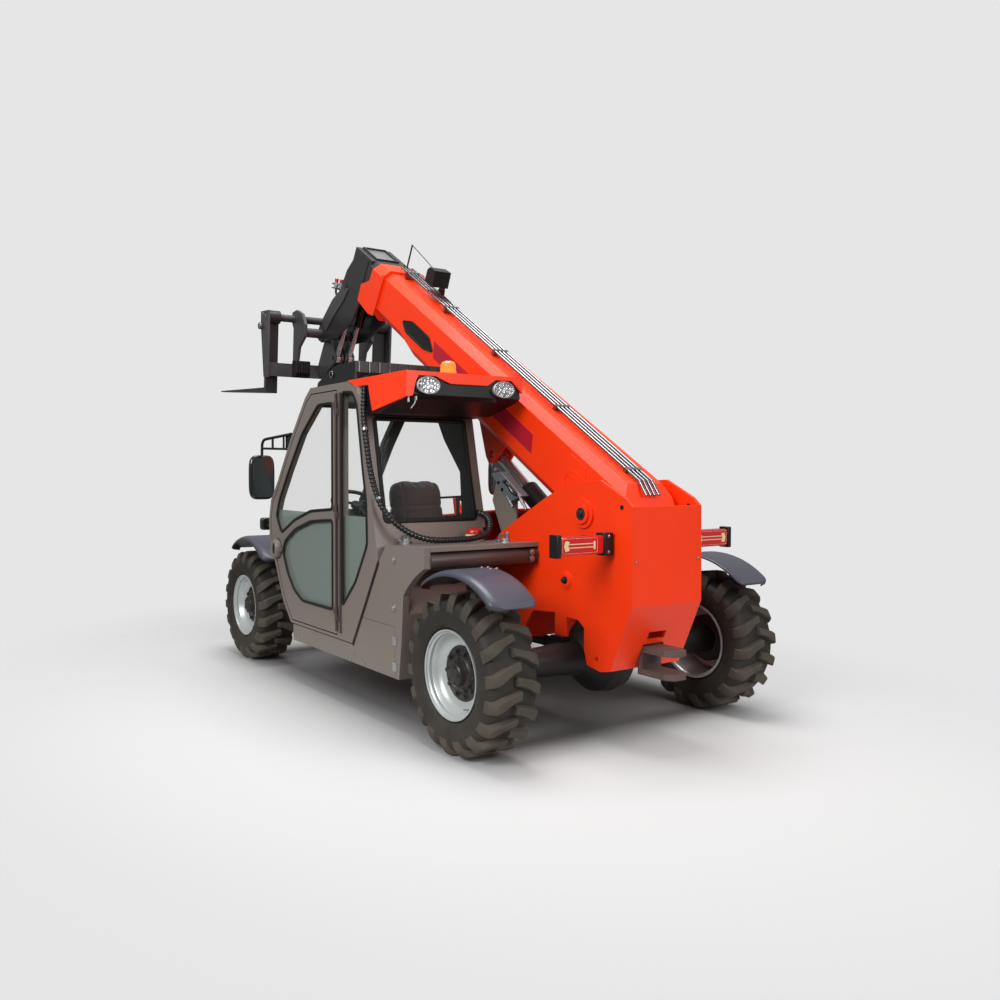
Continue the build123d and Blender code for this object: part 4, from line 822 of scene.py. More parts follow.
seatValues = {"voxel": 0.005, "pressure": 4.0, "frames": 20, "cap": 0.012, "channel": 0.007,
              "cushion": (0.4, 0.45, 0.105), "back": (0.4, 0.1, 0.5), "lean": 9.0, "cushionAt": (0.255, 0.8),
              "backAt": (0.452, 1.105), "bellowsAt": 0.19}


def coordinates(mesh, kind="co"):
    values = np.empty(len(mesh.vertices) * 3, np.float32)
    mesh.vertices.foreach_get(kind, values)
    return values.reshape(-1, 3).astype(float)


def puff(piece):
    # air pressure fills the cover; no point moves further than the cap
    scene = bpy.context.scene
    remesh = piece.modifiers.new("remesh", "REMESH")
    remesh.mode = "VOXEL"
    remesh.voxel_size = seatValues["voxel"]
    mesh = bpy.data.meshes.new_from_object(piece.evaluated_get(bpy.context.evaluated_depsgraph_get()))
    piece.modifiers.clear()
    material = piece.data.materials[0]
    piece.data = mesh
    mesh.materials.clear()
    mesh.materials.append(material)
    start = coordinates(mesh)
    cloth = piece.modifiers.new("cloth", "CLOTH")
    cloth.settings.use_pressure = True
    cloth.settings.uniform_pressure_force = seatValues["pressure"]
    cloth.settings.effector_weights.gravity = 0
    cloth.point_cache.frame_end = seatValues["frames"]
    for frameNumber in range(1, seatValues["frames"] + 1):
        scene.frame_set(frameNumber)
    filled = bpy.data.meshes.new_from_object(piece.evaluated_get(bpy.context.evaluated_depsgraph_get()))
    move = coordinates(filled) - start
    reach = np.linalg.norm(move, axis=1, keepdims=True)
    moved = start + move * np.minimum(1, seatValues["cap"] / np.maximum(reach, 1e-9))
    piece.modifiers.clear()
    scene.frame_set(1)
    mesh.vertices.foreach_set("co", moved.ravel().astype(np.float32))
    mesh.update()


def sew(piece, lines):
    # each channel draws the cover in along its normal: depth * exp(-(distance to the line / width)^2)
    mesh = piece.data
    place, normal = coordinates(mesh), coordinates(mesh, "normal")
    depth = np.zeros(len(place))
    for across, offset, width in lines:
        depth = np.maximum(depth, np.exp(-((np.abs(place @ np.array(across)) - offset) / width) ** 2))
    mesh.vertices.foreach_set("co", (place - normal * depth[:, None] * seatValues["channel"]).ravel())
    mesh.update()
    mesh.shade_smooth()
    softer = piece.modifiers.new("softer", "SUBSURF")
    softer.levels = softer.render_levels = 1


def seat():
    v = seatValues
    low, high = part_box("seat")
    middle = (low.x + high.x) / 2
    lean = math.radians(v["lean"])
    turn = np.array([[1, 0, 0], [0, math.cos(lean), -math.sin(lean)], [0, math.sin(lean), math.cos(lean)]])
    places = [("seatCushion", v["cushion"], np.array(at(middle, *v["cushionAt"])), np.eye(3),
               [((1, 0, 0), 0.115, 0.01), ((0, 1, 0), 0.045, 0.01)]),
              ("seatBack", v["back"], np.array(at(middle, *v["backAt"])), turn,
               [((1, 0, 0), 0.115, 0.01), ((0, 0, 1), 0.085, 0.01)])]
    for name, size, centre, leanTurn, channels in places:
        order = [0, 2, 1] if name == "seatBack" else [0, 1, 2]
        shape, faces = pad([size[k] for k in order], 0.3, 6.0, 0.02)
        shape = shape[..., order].reshape(-1, 3)
        if name == "seatBack":
            shape[:, 0] *= 1 - 0.14 * (shape[:, 2] / size[2] + 0.5)
        piece = addPiece(name, (shape, faces), "seatCloth", "chassis", "seat_cover", sharp=180)
        puff(piece)
        sew(piece, channels)
        mesh = piece.data
        mesh.vertices.foreach_set("co", (coordinates(mesh) @ leanTurn.T + centre).ravel())
        mesh.update()
        if name == "seatCushion":
            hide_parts("seat")
    foot = middleY + v["bellowsAt"]
    # bellows: half width = 0.15 + 0.01 * cos(five turns over its height)
    rows = np.linspace(0, 1, 25)
    bellows = np.stack([0.45 + 0.29 * rows, 0.15 + 0.01 * np.cos(rows * 10 * np.pi)], 1)
    ring = np.array(rectangle(-1, 1, -1, 1))
    walls = np.stack([np.stack([middle + ring[:, 0] * w, foot + ring[:, 1] * w * 0.75, np.full(4, z)], 1)
                      for z, w in bellows])
    faces = list(gridFaces(25, 4, roundColumns=True)) + [[0, 1, 2, 3], [96, 97, 98, 99]]
    shell = [(middle + x * 0.185, foot + y * 0.2, 0.737) for x, y in ring]
    parts = [(walls, faces), plate(shell, (0, 0, 0.02))]
    addPiece("seatBellows", parts, "trimBlack", "chassis", "trim_black", sharp=20)


seat()
print("seat made")


# lamps
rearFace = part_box("tail_lamps")[1].y
tailValues = {"inner": 0.3225, "outer": 0.6015, "low": 0.996, "high": 1.088, "deep": 0.052,
              "ends": ((0.2625, 0.323), (0.6012, 0.6285)), "endHeights": (0.9855, 1.0985), "endDeep": 0.061,
              "screws": (0.292, (1.003, 1.082))}


def tailLamps():
    # a cushioned red lens between two black end brackets; inside it a blunt arrow, two bars and a thin frame
    v = tailValues
    lenses, ends, marks, screws = [], [], [], []
    middle, height = (v["inner"] + v["outer"]) / 2, (v["low"] + v["high"]) / 2
    for hand in (1, -1):
        shell, faces = pad((1.0, 1.0, 1.0), 0.0, 14.0, 0.0, (49, 96))
        size = np.array([v["outer"] - v["inner"] + 0.003, v["high"] - v["low"], v["deep"]])
        centre = np.array([hand * middle, rearFace - 0.003 - v["deep"] / 2, height])
        lenses.append(((shell * size)[..., [0, 2, 1]] + centre, faces))
        y = rearFace - 0.0034

        def flat(corners):
            marks.append(plate([(hand * x, y, z) for x, z in corners], (0, 0.0016, 0)))

        flat([(0.583, 1.042), (0.574, 1.068), (0.548, 1.064), (0.556, 1.042), (0.548, 1.02), (0.574, 1.016)])
        for low, high in ((1.048, 1.053), (1.031, 1.036)):
            flat([(0.551, low), (0.551, high), (0.392, high), (0.392, low)])
        flat([(0.392, 1.062), (0.38, 1.062), (0.38, 1.022), (0.392, 1.022)])
        frameLine = [(hand * x, y + 0.0006, z) for x, z in ((0.592, 1.006), (0.592, 1.078), (0.366, 1.078),
                                                          (0.366, 1.006))]
        marks.append(carried(roundedLoop(frameLine, 0.012), circle(0.0008, 8), (0, 1, 0), closed=True))
        for low, high in v["ends"]:
            loop = [(hand * x, rearFace - 0.0605, z) for x, z in rectangle(low, high, *v["endHeights"])]
            ends.append(plate(loop, (0, v["endDeep"], 0)))
        screws += [(hand * v["screws"][0], rearFace + 0.0003, z) for z in v["screws"][1]]
    for name, parts, finish in (("tailLenses", lenses, "lampRed"), ("tailMarks", marks, "lampCream"),
                                ("tailEnds", ends, "trimBlack")):
        piece = addPiece(name, parts, finish, "chassis", "lamp_red" if name == "tailLenses" else None,
                         sharp=50 if name == "tailLenses" else 20, bevel=0.004 if name == "tailEnds" else 0.0)
        if name == "tailLenses":
            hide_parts("tail_lamps")
    addPiece("tailScrews", boltHeads(screws, (0, 1, 0), 0.006, 0.004), "zincPlate")


tailLamps()
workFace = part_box("work_lamps")[1].y
workValues = {"places": (0.363, 0.866), "height": 1.86, "half": (0.0725, 0.046), "ring": (0.049, 0.029), "cells": 8,
              "cell": 0.0145}


def oval(x, rings, steps=48):
    # rings of (y, scale): point = (x + wide * scale * cos t, y, height + tall * scale * sin t)
    wide, tall = workValues["half"]
    rings = np.array(rings)[:, :, None]
    t = np.linspace(0, 2 * np.pi, steps, endpoint=False)
    points = np.stack([x + wide * rings[:, 1] * np.cos(t), workFace + rings[:, 0] + 0 * t,
                       workValues["height"] + tall * rings[:, 1] * np.sin(t)], -1)
    return points, gridFaces(len(rings), steps, roundColumns=True)


bodies, rings, cells = [], [], []
for x in workValues["places"]:
    bodies.append(oval(x, [(-0.03, 0.0), (-0.03, 0.9), (-0.004, 1.0), (0.0, 0.95), (-0.006, 0.9), (-0.008, 0.0)]))
    rings.append(oval(x, [(-0.005, 1.0), (0.0015, 1.0), (0.0025, 0.95), (-0.004, 0.9), (-0.005, 0.9)]))
    for k in range(workValues["cells"]):
        turn = (k + 0.5) * 2 * math.pi / workValues["cells"]
        place = (x + workValues["ring"][0] * math.cos(turn), workFace - 0.006,
                 workValues["height"] + workValues["ring"][1] * math.sin(turn))
        big = workValues["cell"]
        cells.append(turned([(0.005, big), (0.0035, big * 0.92), (-0.0015, big * 0.5), (-0.002, 0.0)], place,
                            (0, 1, 0), 20))
for name, parts, finish in (("workLampBodies", bodies, "ledCells"), ("workLampRings", rings, "rimSilver"),
                            ("workLampCells", cells, "rodChrome")):
    piece = addPiece(name, parts, finish, "chassis", "lamp_clear" if name == "workLampBodies" else None, sharp=40)
    if name == "workLampBodies":
        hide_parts("work_lamps")
beaconMiddle = middleOf("beacon")
beaconLow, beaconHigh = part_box("beacon")
beaconTaller = 0.028
tall = beaconHigh.z - beaconLow.z + beaconTaller
dome = [(0.016, 0.0), (0.016, 0.052), (tall * 0.5, 0.051), (tall * 0.52, 0.048), (tall * 0.8, 0.047),
        (tall * 0.93, 0.039), (tall * 0.985, 0.02), (tall, 0.0)]
base = [(0.0, 0.0), (0.0, 0.0445), (0.012, 0.056), (0.018, 0.054), (0.018, 0.0)]
place = (beaconMiddle.x, beaconMiddle.y, beaconLow.z)
beaconDome = addPiece("beaconDome", turned(dome, place, (0, 0, 1), 48), "lampAmber", "chassis", "lamp_amber",
                      sharp=50)
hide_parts("beacon")
addPiece("beaconBase", turned(base, place, (0, 0, 1), 48), "trimBlack", "chassis", "trim_black", sharp=40)
print("lamps made")


# boom insert: a six-sided black panel with a raised rim on each side of the boom
boomSide = 0.1702  # just outside the boom's flat side
insertOutline = [(1.86, 0.02), (1.98, -0.012), (2.24, -0.012), (2.32, 0.035), (2.2, 0.082), (1.95, 0.082)]
parts = []
for hand in (1, -1):
    x = hand * boomSide
    loop = [onBoom(x, a, n) for a, n in insertOutline]
    parts.append(plate(loop, (hand * 0.0025, 0, 0)))
    parts.append(carried(roundedLoop(loop, 0.02), [(-0.006, 0), (-0.006, 0.005), (0.006, 0.005), (0.006, 0)],
                         (hand, 0, 0), closed=True))
addPiece("boomInserts", parts, "trimBlack", "boom", "trim_black", sharp=30)


# mirrors: bracket loops, rounded housings and glass
mirrorValues = {"x": 1.04, "s": -0.912, "z": 1.36, "wide": 0.186, "tall": 0.31, "deep": 0.05, "power": 4.5,
                "upper": 1.622, "lower": 1.556, "glass": (0.076, 0.138), "glassAt": -0.8885}


def mirrorShell(x):  # a rounded box with its thin side facing back
    v = mirrorValues
    shape, faces = pad((v["wide"], v["tall"], v["deep"]), 0.0, v["power"], 0.0, (25, 48))
    return shape[..., [0, 2, 1]] + at(x, v["s"], v["z"]), faces


def mirrors():
    v = mirrorValues
    shells = [mirrorShell(x) for x in (v["x"], -v["x"])]
    heads = addPiece("mirrorShells", shells, "glossBlack", "chassis", "trim_black", sharp=60)
    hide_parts("mirrors")
    glass = []
    wide, tall = v["glass"]
    for x in (v["x"], -v["x"]):
        loop = [at(x + dx, v["glassAt"], v["z"] + dz) for dx, dz in rectangle(-wide, wide, -tall, tall)]
        glass.append(plate(roundedLoop(loop, 0.03), (0, 0.0025, 0)))
    addPiece("mirrorFaces", glass, "mirrorGlass", sharp=20)
    upper, lower = v["upper"], v["lower"]
    arms = [bar([at(0.985, -0.53, upper + 0.028), at(0.985, -0.6, upper + 0.026), at(v["x"], -0.9, upper),
                 at(v["x"], -0.905, 1.5)], 0.01, 0.05),
            bar([at(0.985, -0.56, lower - 0.004), at(0.99, -0.7, lower), at(v["x"], -0.898, lower + 0.006)], 0.008,
                0.04),
            bar([at(1.016, -0.77, upper + 0.012), at(1.016, -0.77, lower)], 0.008, 0.01, up=(1, 0, 0)),
            bar([at(0.987, -0.65, upper + 0.02), at(0.987, -0.65, lower)], 0.007, 0.01, up=(1, 0, 0)),
            bar([at(-0.98, -0.833, 0.56), at(-0.98, -0.833, 1.09), at(-v["x"], -0.9, 1.15),
                 at(-v["x"], -0.905, 1.18)], 0.01, 0.03, up=(1, 0, 0)),
            sidePlate(0.966, [(-0.56, 1.545), (-0.5, 1.65), (-0.56, 1.662), (-0.64, 1.655), (-0.64, 1.545)], 0.012),
            crossPlate(-0.8205, rectangle(-0.998, -0.962, 0.48, 0.64), -0.014)]
    addPiece("mirrorBrackets", arms, "trimBlack", "chassis", "trim_black", sharp=40)


mirrors()
print("mirrors made")


# bolts
boltRows = {
    "rearPlate": ((0, 1, 0), 0.0055, 0.004, [(x, 1.8485, 0.955) for x in (0.222, -0.222)]),
    "skirtFoot": ((1, 0, 0), 0.008, 0.005, [(1.0005, s, 0.3) for s in (-0.445, -0.405, 0.29, 0.33, 0.5)]),
    "tubeFlange": ((1, 0, 0), 0.006, 0.004, [(1.0005, -0.452, 0.36), (1.0005, 0.372, 0.33)]),
    "boomPins": ((1, 0, 0), 0.0135, 0.01, [(0.2735, 1.505, 1.182)]),
    "boomPinsRight": ((-1, 0, 0), 0.0135, 0.01, [(-0.2735, 1.505, 1.182)]),
    "basePins": ((1, 0, 0), 0.01, 0.008, [(0.2715, 1.37, 0.823)]),
    "basePinsRight": ((-1, 0, 0), 0.01, 0.008, [(-0.2715, 1.37, 0.823)]),
    "hoodLocks": ((-1, 0, 0), 0.014, 0.006, [(-1.0003, -0.3, 0.755), (-1.0003, 0.6, 0.77)]),
}
for name, (axis, radius, height, places) in boltRows.items():
    addPiece("bolts_" + name, boltHeads([at(*place) for place in places], axis, radius, height),
             "headBlack" if "Pins" in name else "zincPlate", sharp=30)
print("bolts made")


# fittings
def onCarriage(x, f, u):  # f metres in front of the carriage's pin, u above it, along its own axes
    v = carriageValues
    c, d = math.cos(math.radians(v["angle"])), math.sin(math.radians(v["angle"]))
    tip = onBoom(0, *v["pin"])
    return (x, tip[1] - f * c + u * d, tip[2] + f * d + u * c)


carriageValues = {"pin": (3.498, -0.616), "angle": 4.0, "side": 0.5848}
headSide = 0.1499  # the outer face of the head's cheeks


handleValues = {"face": 1.0002, "s": -0.724, "z": 0.872, "hollow": (0.0205, 0.0385), "ring": (0.064, 0.069)}
frontLampValues = {"size": (0.072, 0.056, 0.088), "place": (0.99, -0.968, 1.03), "lens": (0.99, -0.9935, 1.03)}


def cabFittings():
    # the door's hinge tube and handle, the strip behind the cab's post, a front lamp, eyes on the roof guard
    # and the wires under the roof
    addPiece("hingeTube", peg([(0.0, 0.0075), (1.43, 0.0075)], at(1.012, 0.176, 0.44), (0, 0, 1), 20), "tubeBrown",
             sharp=40)
    # an oval cup over the handle: its rings narrow to a lens-shaped hollow
    rings = np.array([(0.0, 0.062, 0.067, 0.0), (0.0, 0.061, 0.066, 0.016), (0.0, 0.058, 0.063, 0.028),
                      (0.0, 0.053, 0.059, 0.036), (0.003, 0.044, 0.053, 0.04), (0.006, 0.034, 0.047, 0.041),
                      (0.01, 0.026, 0.042, 0.04), (0.011, 0.021, 0.039, 0.0366), (0.011, 0.01, 0.02, 0.0358),
                      (0.011, 0.0, 0.0, 0.0358)])[:, None]
    t = np.linspace(0, 2 * np.pi, 40, endpoint=False)
    v = handleValues
    y, z = middleY + v["s"], v["z"]
    points = np.stack([v["face"] + rings[..., 3] + 0 * t, y + rings[..., 0] + rings[..., 1] * np.cos(t),
                       z + rings[..., 2] * np.sin(t)], -1)
    addPiece("handleCup", (points, gridFaces(len(rings), 40, roundColumns=True)), "cabTaupe", "cab_door", sharp=50)
    # painted shade: a dark lens laid in the cup's shallow hollow stands in for a deep recess
    wide, tall = v["hollow"]
    lens = np.stack([np.full(40, v["face"] + 0.036), y + 0.011 + wide * np.cos(t), z + tall * np.sin(t)], 1)
    addPiece("handleHollow", plate(lens, (0.0012, 0, 0)), "sealRubber", "cab_door", sharp=30)
    wide, tall = v["ring"]
    loop = np.stack([np.full(40, v["face"] + 0.001), y + wide * np.cos(t), z + tall * np.sin(t)], 1)
    addPiece("handleRing", carried(loop, circle(0.0028, 10), (1, 0, 0), closed=True), "sealRubber", "cab_door",
             sharp=60)
    edge = [(0.662, 0.905), (0.524, 0.668), (0.358, 0.394)]
    strip = [at(v["face"], s, z) for s, z in edge] + [at(v["face"], s + 0.016, z - 0.012) for s, z in edge[::-1]]
    addPiece("postStrip", plate(strip, (0.0035, 0, 0)), "sealRubber", sharp=20)
    shell, faces = pad(frontLampValues["size"], 0.0, 5.0, 0.0)
    body = (shell + np.array(at(*frontLampValues["place"])), faces)
    stay = bar([at(0.962, -0.855, 1.0), at(0.965, -0.92, 1.01), at(0.985, -0.955, 1.02)], 0.009, 0.02, up=(1, 0, 0))
    addPiece("frontLamp", [body, stay], "glossBlack", sharp=50)
    lens = turned([(0.0, 0.0), (0.0, 0.02), (0.004, 0.018), (0.006, 0.0)], at(*frontLampValues["lens"]), (0, -1, 0),
                  28)
    addPiece("frontLampLens", lens, "ledCells", sharp=50)
    rings = [turned([(0.0, 0.0155), (0.0, 0.0225), (0.0035, 0.0225), (0.0035, 0.0155)], at(x, 0.005, 2.0),
                    (hand, 0, 0), 32) for x, hand in ((0.9542, 1), (0.2658, -1))]
    addPiece("guardEyes", rings, "zincPlate", sharp=40)
    wire = [peg([(0.0, 0.003), (0.045, 0.003), (0.06, 0.007), (0.085, 0.007)], at(0.969, 0.935, 1.854), (0, 0, -1),
                12),
            peg([(0.0, 0.01), (0.024, 0.01)], at(0.925, 0.935, 1.804), (0, 0, -1), 16),
            bar([at(0.925, 0.935, 1.792), at(0.928, 0.935, 1.766), at(0.956, 0.935, 1.736)], 0.004, 0.02,
                up=(0, 1, 0), steps=8)]
    addPiece("releaseWires", wire, "zincPlate", sharp=60)


valveValues = {  # stations and heights on the block's outer face
    "face": 0.25, "deep": 0.06, "outline": [(0.7, 1.39), (0.792, 1.402), (0.99, 1.262), (0.872, 1.222)],
    "cap": [(0.712, 1.4), (0.742, 1.404), (0.742, 1.424), (0.712, 1.42)],
    "bracket": [(0.7, 1.35), (0.86, 1.235), (0.89, 1.235), (0.89, 1.06), (0.748, 1.04), (0.66, 1.23)],
    "ports": [(0.779, 1.337), (0.814, 1.297), (0.887, 1.3)],
    "hose": [(0.252, 0.851, 1.344), (0.275, 0.851, 1.344), (0.285, 0.908, 1.33), (0.275, 0.952, 1.273),
             (0.252, 0.952, 1.273)],
    "unions": [((0.867, 1.245), (0.91, 1.199)), ((0.963, 1.268), (1.03, 1.188))],
}


def valveFittings():
    # a leaning valve block with ports, unions and a hose, on a bracket that stands on the frame
    v = valveValues
    parts = [sidePlate(v["face"], v["outline"], -v["deep"]), sidePlate(v["face"] - 0.004, v["cap"], -0.04)]
    body = addPiece("valveBody", parts, "alloyGrey", "chassis", "valve_alloy", sharp=25, bevel=0.004)
    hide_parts("valve_block")
    addPiece("valveBracket", sidePlate(0.205, v["bracket"], -0.012), "cabTaupe", "chassis", "cab_grey", sharp=25)
    knobs = [peg([(0.0, 0.011), (0.003, 0.011)], at(v["face"] - 0.0002, s, z), (1, 0, 0), 20)
             for s, z in v["ports"]]
    knobs.append(bar([at(*place) for place in v["hose"]], 0.01, 0.03, up=(1, 0.2, 0.1)))
    addPiece("valveKnobs", knobs, "glossBlack", sharp=30)
    unions = []
    for (s, z), (low, deep) in v["unions"]:
        length = math.hypot(low - s, deep - z)
        unions.append(peg([(-0.02, 0.007), (length * 0.3, 0.007), (length * 0.3, 0.012), (length * 0.6, 0.012),
                           (length * 0.6, 0.009), (length, 0.009)],
                          at(v["face"] - 0.004, s, z), (0, low - s, deep - z), 6))
    addPiece("valveUnions", unions, "zincPlate", sharp=30)


deckValues = {"bottle": (0.385, 0.722, 0.9935), "unions": ((0.84, 0.712, 0.992), (0.385, 1.022, 1.0)),
              "lug": (0.284, 0.32, 0.9, 0.978), "lugAt": 1.1502, "lugThick": 0.004,
              "lugBolts": (0.302, 0.959, 0.924)}


def deckFittings():
    # a washer bottle with a red cap, two pipe unions on the deck, and a bolted lug at the tube's end
    v = deckValues
    foot = at(*v["bottle"])
    addPiece("washerBottle",
             peg([(0.0, 0.05), (0.006, 0.053), (0.036, 0.053), (0.042, 0.046)], foot, (0, 0, 1), 36), "lampCream",
             sharp=40)
    addPiece("washerCap",
             turned([(0.042, 0.0), (0.042, 0.047), (0.06, 0.047), (0.072, 0.04), (0.079, 0.024), (0.081, 0.0)],
                    foot, (0, 0, 1), 36), "capRed", sharp=40)
    parts = []
    for x, s, z in v["unions"]:
        parts += [peg([(0.0, 0.03), (0.014, 0.03), (0.014, 0.02), (0.03, 0.02)], at(x, s, z), (0, 0, 1), 6),
                  peg([(0.0, 0.012), (0.062, 0.012), (0.066, 0.009)], at(x - 0.004, s + 0.01, z), (0, 0, 1), 16),
                  bar([at(x, s + 0.01, z + 0.044), at(x + 0.01, s - 0.04, z + 0.05),
                       at(x + 0.012, s - 0.052, z + 0.004)], 0.007, 0.02, up=(1, 0, 0)),
                  peg([(0.0, 0.013), (0.018, 0.013)], at(x + 0.012, s - 0.052, z), (0, 0, 1), 6)]
    addPiece("deckUnions", parts, "zincPlate", sharp=30)
    addPiece("tubeLug", crossPlate(v["lugAt"], rectangle(*v["lug"]), v["lugThick"]), "tubeBrown", sharp=20)
    x, *heights = v["lugBolts"]
    addPiece("bolts_tubeLug",
             boltHeads([at(x, v["lugAt"] + v["lugThick"], z) for z in heights], (0, 1, 0), 0.011, 0.008),
             "zincPlate", sharp=30)


def cabInside():
    # a black panel inside the right side behind its window as painted shade, the rail behind that window, and ribs on
    # the guard's rear bar
    trim = [(0.08, 1.845), (0.228, 1.603), (0.405, 1.399), (0.428, 1.11), (0.54, 1.11), (0.478, 1.41),
            (0.4, 1.78), (0.34, 1.845)]
    addPiece("sideShadePanel", sidePlate(0.2565, trim, 0.01), "trimBlack", "chassis", "trim_black", sharp=30)
    addPiece("sideRail", bar([at(0.262, -0.15, 1.214), at(0.262, 0.417, 1.246)], 0.007, 0.01, up=(0, 0, 1)),
             "trimBlack", "chassis", "trim_black", sharp=40)
    ribs = [crossPlate(0.3052, rectangle(x, x + 0.008, 1.9905, 2.0545), 0.004) for x in np.linspace(0.29, 0.92, 10)]
    addPiece("guardRibs", ribs, "glossBlack", "chassis", "trim_black", sharp=20)


def headFittings():
    # couplers with red caps on the head's shelf, pipes into it, and the lock knobs of the carriage
    base = np.array(onBoom(0, 3.41, -0.132))
    line = np.array([0, 0.2, 0.98]) / np.linalg.norm([0, 0.2, 0.98])
    caps, collars, pipes = [], [], []
    for x in (-0.032, 0.032):
        foot = base + (x, 0, 0)
        caps.append(peg([(0.052, 0.0145), (0.076, 0.0145), (0.08, 0.011)], foot, line, 24))
        collars.append(peg([(0.036, 0.0185), (0.05, 0.0185)], foot, line, 24))
        start = foot + line * 0.028 + (0, -0.016, 0)
        pipes.append(bar([start, start + (0, -0.03, 0.004), start + (math.copysign(0.03, x), -0.044, -0.03),
                          start + (math.copysign(0.03, x), -0.03, -0.12)], 0.0075, 0.03, up=(1, 0, 0)))
    shelf = [onBoom(0.146, a, n) for a, n in ((3.36, -0.166), (3.384, -0.168), (3.53, -0.212), (3.53, -0.22),
                                             (3.384, -0.182), (3.362, -0.182))]
    pipes.append(plate(shelf, (-0.06, 0, 0)))
    for a, n, x in ((3.43, -0.18, 0.116), (3.497, -0.2, 0.124)):
        foot = np.array(onBoom(x, a, n))
        caps.append(peg([(0.044, 0.0155), (0.066, 0.0155), (0.07, 0.012)], foot, line, 24))
        collars.append(peg([(-0.012, 0.012), (0.004, 0.012), (0.004, 0.018), (0.022, 0.018), (0.024, 0.014),
                            (0.044, 0.014)], foot, line, 24))
        collars.append(bar([foot + line * 0.034, foot + line * 0.034 + (0.01, -0.05, 0.004)], 0.008, 0.01,
                           up=(1, 0, 0)))
        pipes.append(bar([foot - line * 0.008, foot - line * 0.05, foot - line * 0.09 + (-0.03, 0.05, -0.04),
                          foot - line * 0.09 + (-0.03, 0.075, -0.12)], 0.009, 0.04, up=(1, 0, 0)))
    for name, parts, finish in (("couplerCaps", caps, "capRed"), ("couplerCollars", collars, "rodChrome"),
                                ("couplerPipes", pipes, "hoseBlack")):
        addPiece(name, parts, finish, "boom_stage", sharp=40)
    knobs = [peg([(0.0, 0.014), (0.008, 0.014), (0.008, 0.028), (0.026, 0.028), (0.029, 0.024)],
                 onCarriage(hand * carriageValues["side"], 0.222, 0.044), (hand, 0, 0), 28) for hand in (1, -1)]
    addPiece("carriageKnobs", knobs, "zincPlate", "fork_carriage", sharp=40)
    eyes = [turned([(0.0, 0.01), (0.0, 0.017), (0.003, 0.017), (0.003, 0.01)],
                   onCarriage(hand * carriageValues["side"], f, u), (hand, 0, 0), 24) for hand in (1, -1)
            for f, u in ((0.212, 0.14), (0.165, 0.118))]
    addPiece("carriageEyes", eyes, "zincPlate", "fork_carriage", sharp=40)


def headPlates():
    # two raised plates on each cheek with a groove between them, the arm plate a paler grey than the head's black as
    # a painted highlight, a pale cover on top, a ribbed block below
    upper = [(3.045, -0.08), (3.045, 0.205), (3.283, 0.205), (3.283, 0.104), (3.336, 0.002), (3.35, -0.09)]
    arm = [(3.345, -0.115), (3.362, -0.178), (3.45, -0.303), (3.535, -0.52), (3.425, -0.56), (3.35, -0.38),
           (3.27, -0.23), (3.235, -0.115)]
    for name, outline, high, finish in (("headBoxes", upper, 0.005, "headBlack"),
                                        ("headArms", arm, 0.008, "plateGrey")):
        parts = [plate([onBoom(hand * headSide, a, n) for a, n in outline], (hand * high, 0, 0)) for hand in (1, -1)]
        addPiece(name, parts, finish, "boom_stage", "head_black", sharp=25, bevel=0.003)
    low, high = onBoom(0, 3.046, 0.2145), onBoom(0, 3.262, 0.2145)
    lift = (0, 0.0015 * boomSin, 0.0015 * boomCos)
    addPiece("headCover",
             plate([(-0.086, *low[1:]), (0.086, *low[1:]), (0.086, *high[1:]), (-0.086, *high[1:])], lift),
             "zincPlate", "boom_stage", sharp=20)
    ribs = [plate([onCarriage(x, f, u) for f, u in ((-0.105, -0.245), (-0.18, -0.245), (-0.19, -0.34),
                                                    (-0.165, -0.378), (-0.105, -0.378))], (0.015, 0, 0))
            for x in np.linspace(0.328, 0.438, 6)]
    ribs.append(plate([onCarriage(0.33, f, u) for f, u in ((-0.105, -0.25), (-0.165, -0.25), (-0.165, -0.36),
                                                          (-0.105, -0.36))], (0.12, 0, 0)))
    addPiece("ribbedBlock", ribs, "trimBlack", "fork_carriage", "trim_black", sharp=20)


def boomFittings():
    # a bead round the pad at the boom's foot: two straight runs and a half circle
    t = np.linspace(-0.5 * np.pi, 0.5 * np.pi, 15)
    beads = []
    for hand in (1, -1):
        x = hand * boomSide
        line = ([onBoom(x, a, -0.03) for a in np.linspace(0.03, 0.225, 4)]
                + [onBoom(x, 0.235 + 0.065 * math.cos(k), 0.035 + 0.065 * math.sin(k)) for k in t]
                + [onBoom(x, a, 0.1) for a in np.linspace(0.225, 0.03, 4)])
        beads.append(carried(line, circle(0.005, 8), (hand, 0, 0)))
    addPiece("boomBeads", beads, "machineOrange", "boom", sharp=60)


cabFittings()
valveFittings()
deckFittings()
cabInside()
headFittings()
headPlates()
boomFittings()
print("fittings made")


# floor and light
# under is the hue of the painted shadow beneath the machine; half and soft set its footprint and its soft edge
floorValues = {"radius": 6.0, "clear": 1.3, "faded": 3.4, "long": 1.35, "hue": "#c4c4c4",
               "under": "#747474", "half": (0.8, 1.4), "soft": 0.5}


def past(value, edge):  # how far a value lies beyond an edge, and 0 before it
    over = value - edge
    return over.maths("MAXIMUM", over, 0.0)


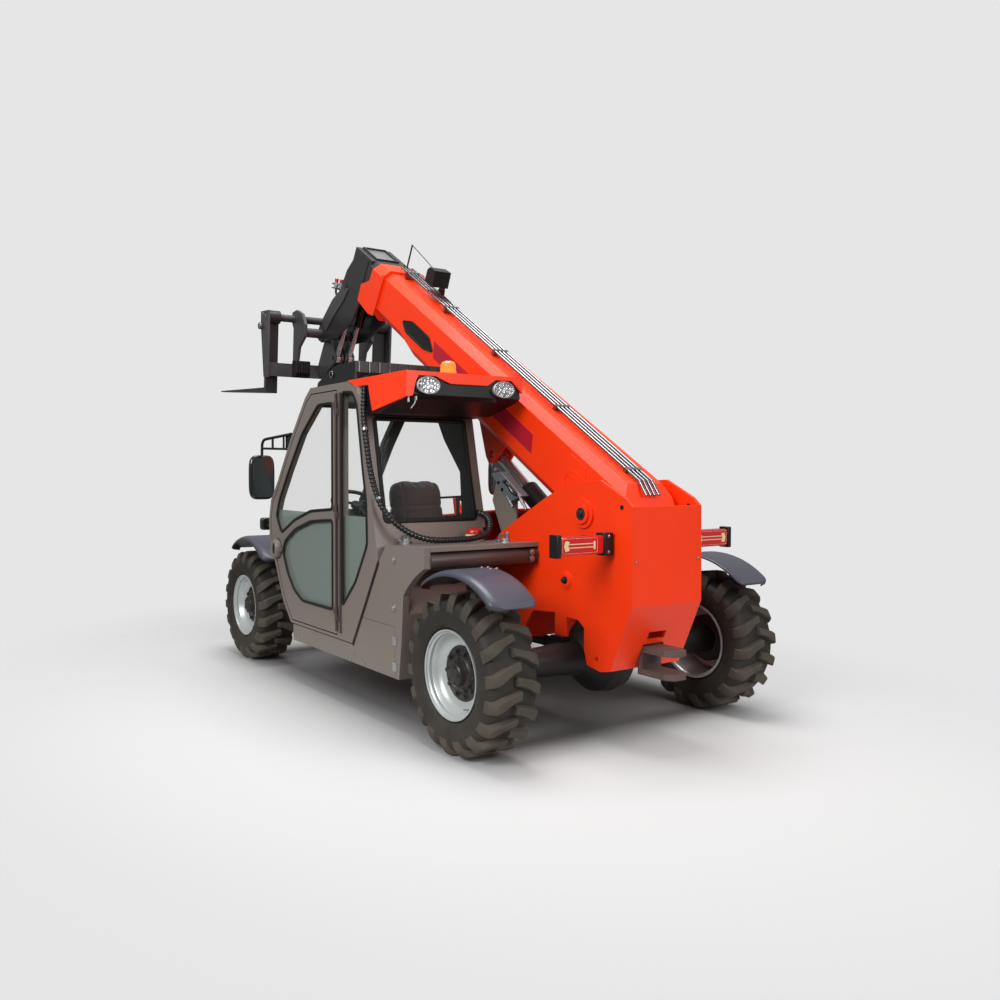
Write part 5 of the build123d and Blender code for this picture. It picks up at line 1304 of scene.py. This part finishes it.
def floor():
    # a disc whose material fades out towards its rim
    v = floorValues
    rings, steps = 40, 96
    r = np.linspace(0.001, v["radius"], rings)[:, None]
    t = np.linspace(0, 2 * np.pi, steps, endpoint=False)[None, :]
    points = np.stack(np.broadcast_arrays(r * np.cos(t), r * np.sin(t), -0.0005), -1)
    material, shader, place = startMaterial("studioFloor")
    x, y = place.axes()[:2]
    along = (y - middleY) / v["long"]
    away = (x * x + along * along) ** 0.5
    fade = ((v["faded"] - away) / (v["faded"] - v["clear"])).clamp()
    fade = fade * fade * (3.0 - fade * 2.0)
    grain = noise(place, 40.0)
    # a painted shadow: the floor is darker under the machine, (1 - distance from its footprint / soft)^2
    beside, behind = past(abs(x), v["half"][0]), past(abs(y - middleY), v["half"][1])
    under = (1.0 - (beside * beside + behind * behind) ** 0.5 / v["soft"]).clamp() ** 2.0
    feed(shader,
         {"Base Color": blendHue(under, hue(v["hue"]), hue(v["under"])), "Roughness": grain * 0.05 + 0.85,
          "Alpha": fade, "Specular IOR Level": 0.1})
    mesh = bpy.data.meshes.new("studioFloor")
    mesh.from_pydata(points.reshape(-1, 3).tolist(), [], gridFaces(rings, steps, roundColumns=True).tolist())
    mesh.materials.append(material)
    disc = bpy.data.objects.new("studioFloor", mesh)
    bpy.context.scene.collection.objects.link(disc)


floor()
world = bpy.data.worlds.new("studio")
world.use_nodes = True


def studioSky():
    # the backdrop's even grey to the camera; to the machine a sky, brighter overhead than at the horizon
    tree = world.node_tree
    background = tree.nodes["Background"]
    start = Wire(tree)
    up = start.make("ShaderNodeTexCoord", out="Generated").axes()[2]
    glow = (up * 0.5 + 0.5).clamp() ** 2.4 * 0.72 + 0.1
    seen = start.make("ShaderNodeLightPath", out="Is Camera Ray")
    feed(background, {"Color": blendHue(seen, start.make("ShaderNodeCombineColor", None, {0: glow, 1: glow, 2: glow}),
                                        hue("#e6e6e6")), "Strength": 1.0})


studioSky()
bpy.context.scene.world = world
softboxes = {  # place, aim, width, power
    "overhead": ((0.3, 0.5, 7.0), (0.0, 0.5, 0.5), 3.2, 330.0),
    "cabSide": ((6.5, 3.5, 4.5), (0.0, 0.3, 1.0), 3.0, 380.0),
    "rear": ((-1.5, 7.5, 3.5), (0.0, 1.0, 0.9), 3.0, 170.0),
}
for name, (place, aim, width, power) in softboxes.items():
    light = bpy.data.lights.new(name, "AREA")
    light.size = width
    light.energy = power
    lamp = bpy.data.objects.new(name, light)
    lamp.location = place
    lamp.rotation_euler = (Vector(aim) - Vector(place)).to_track_quat("-Z", "Y").to_euler()
    bpy.context.scene.collection.objects.link(lamp)
bpy.context.scene.view_settings.view_transform = "Standard"
print("studio made")
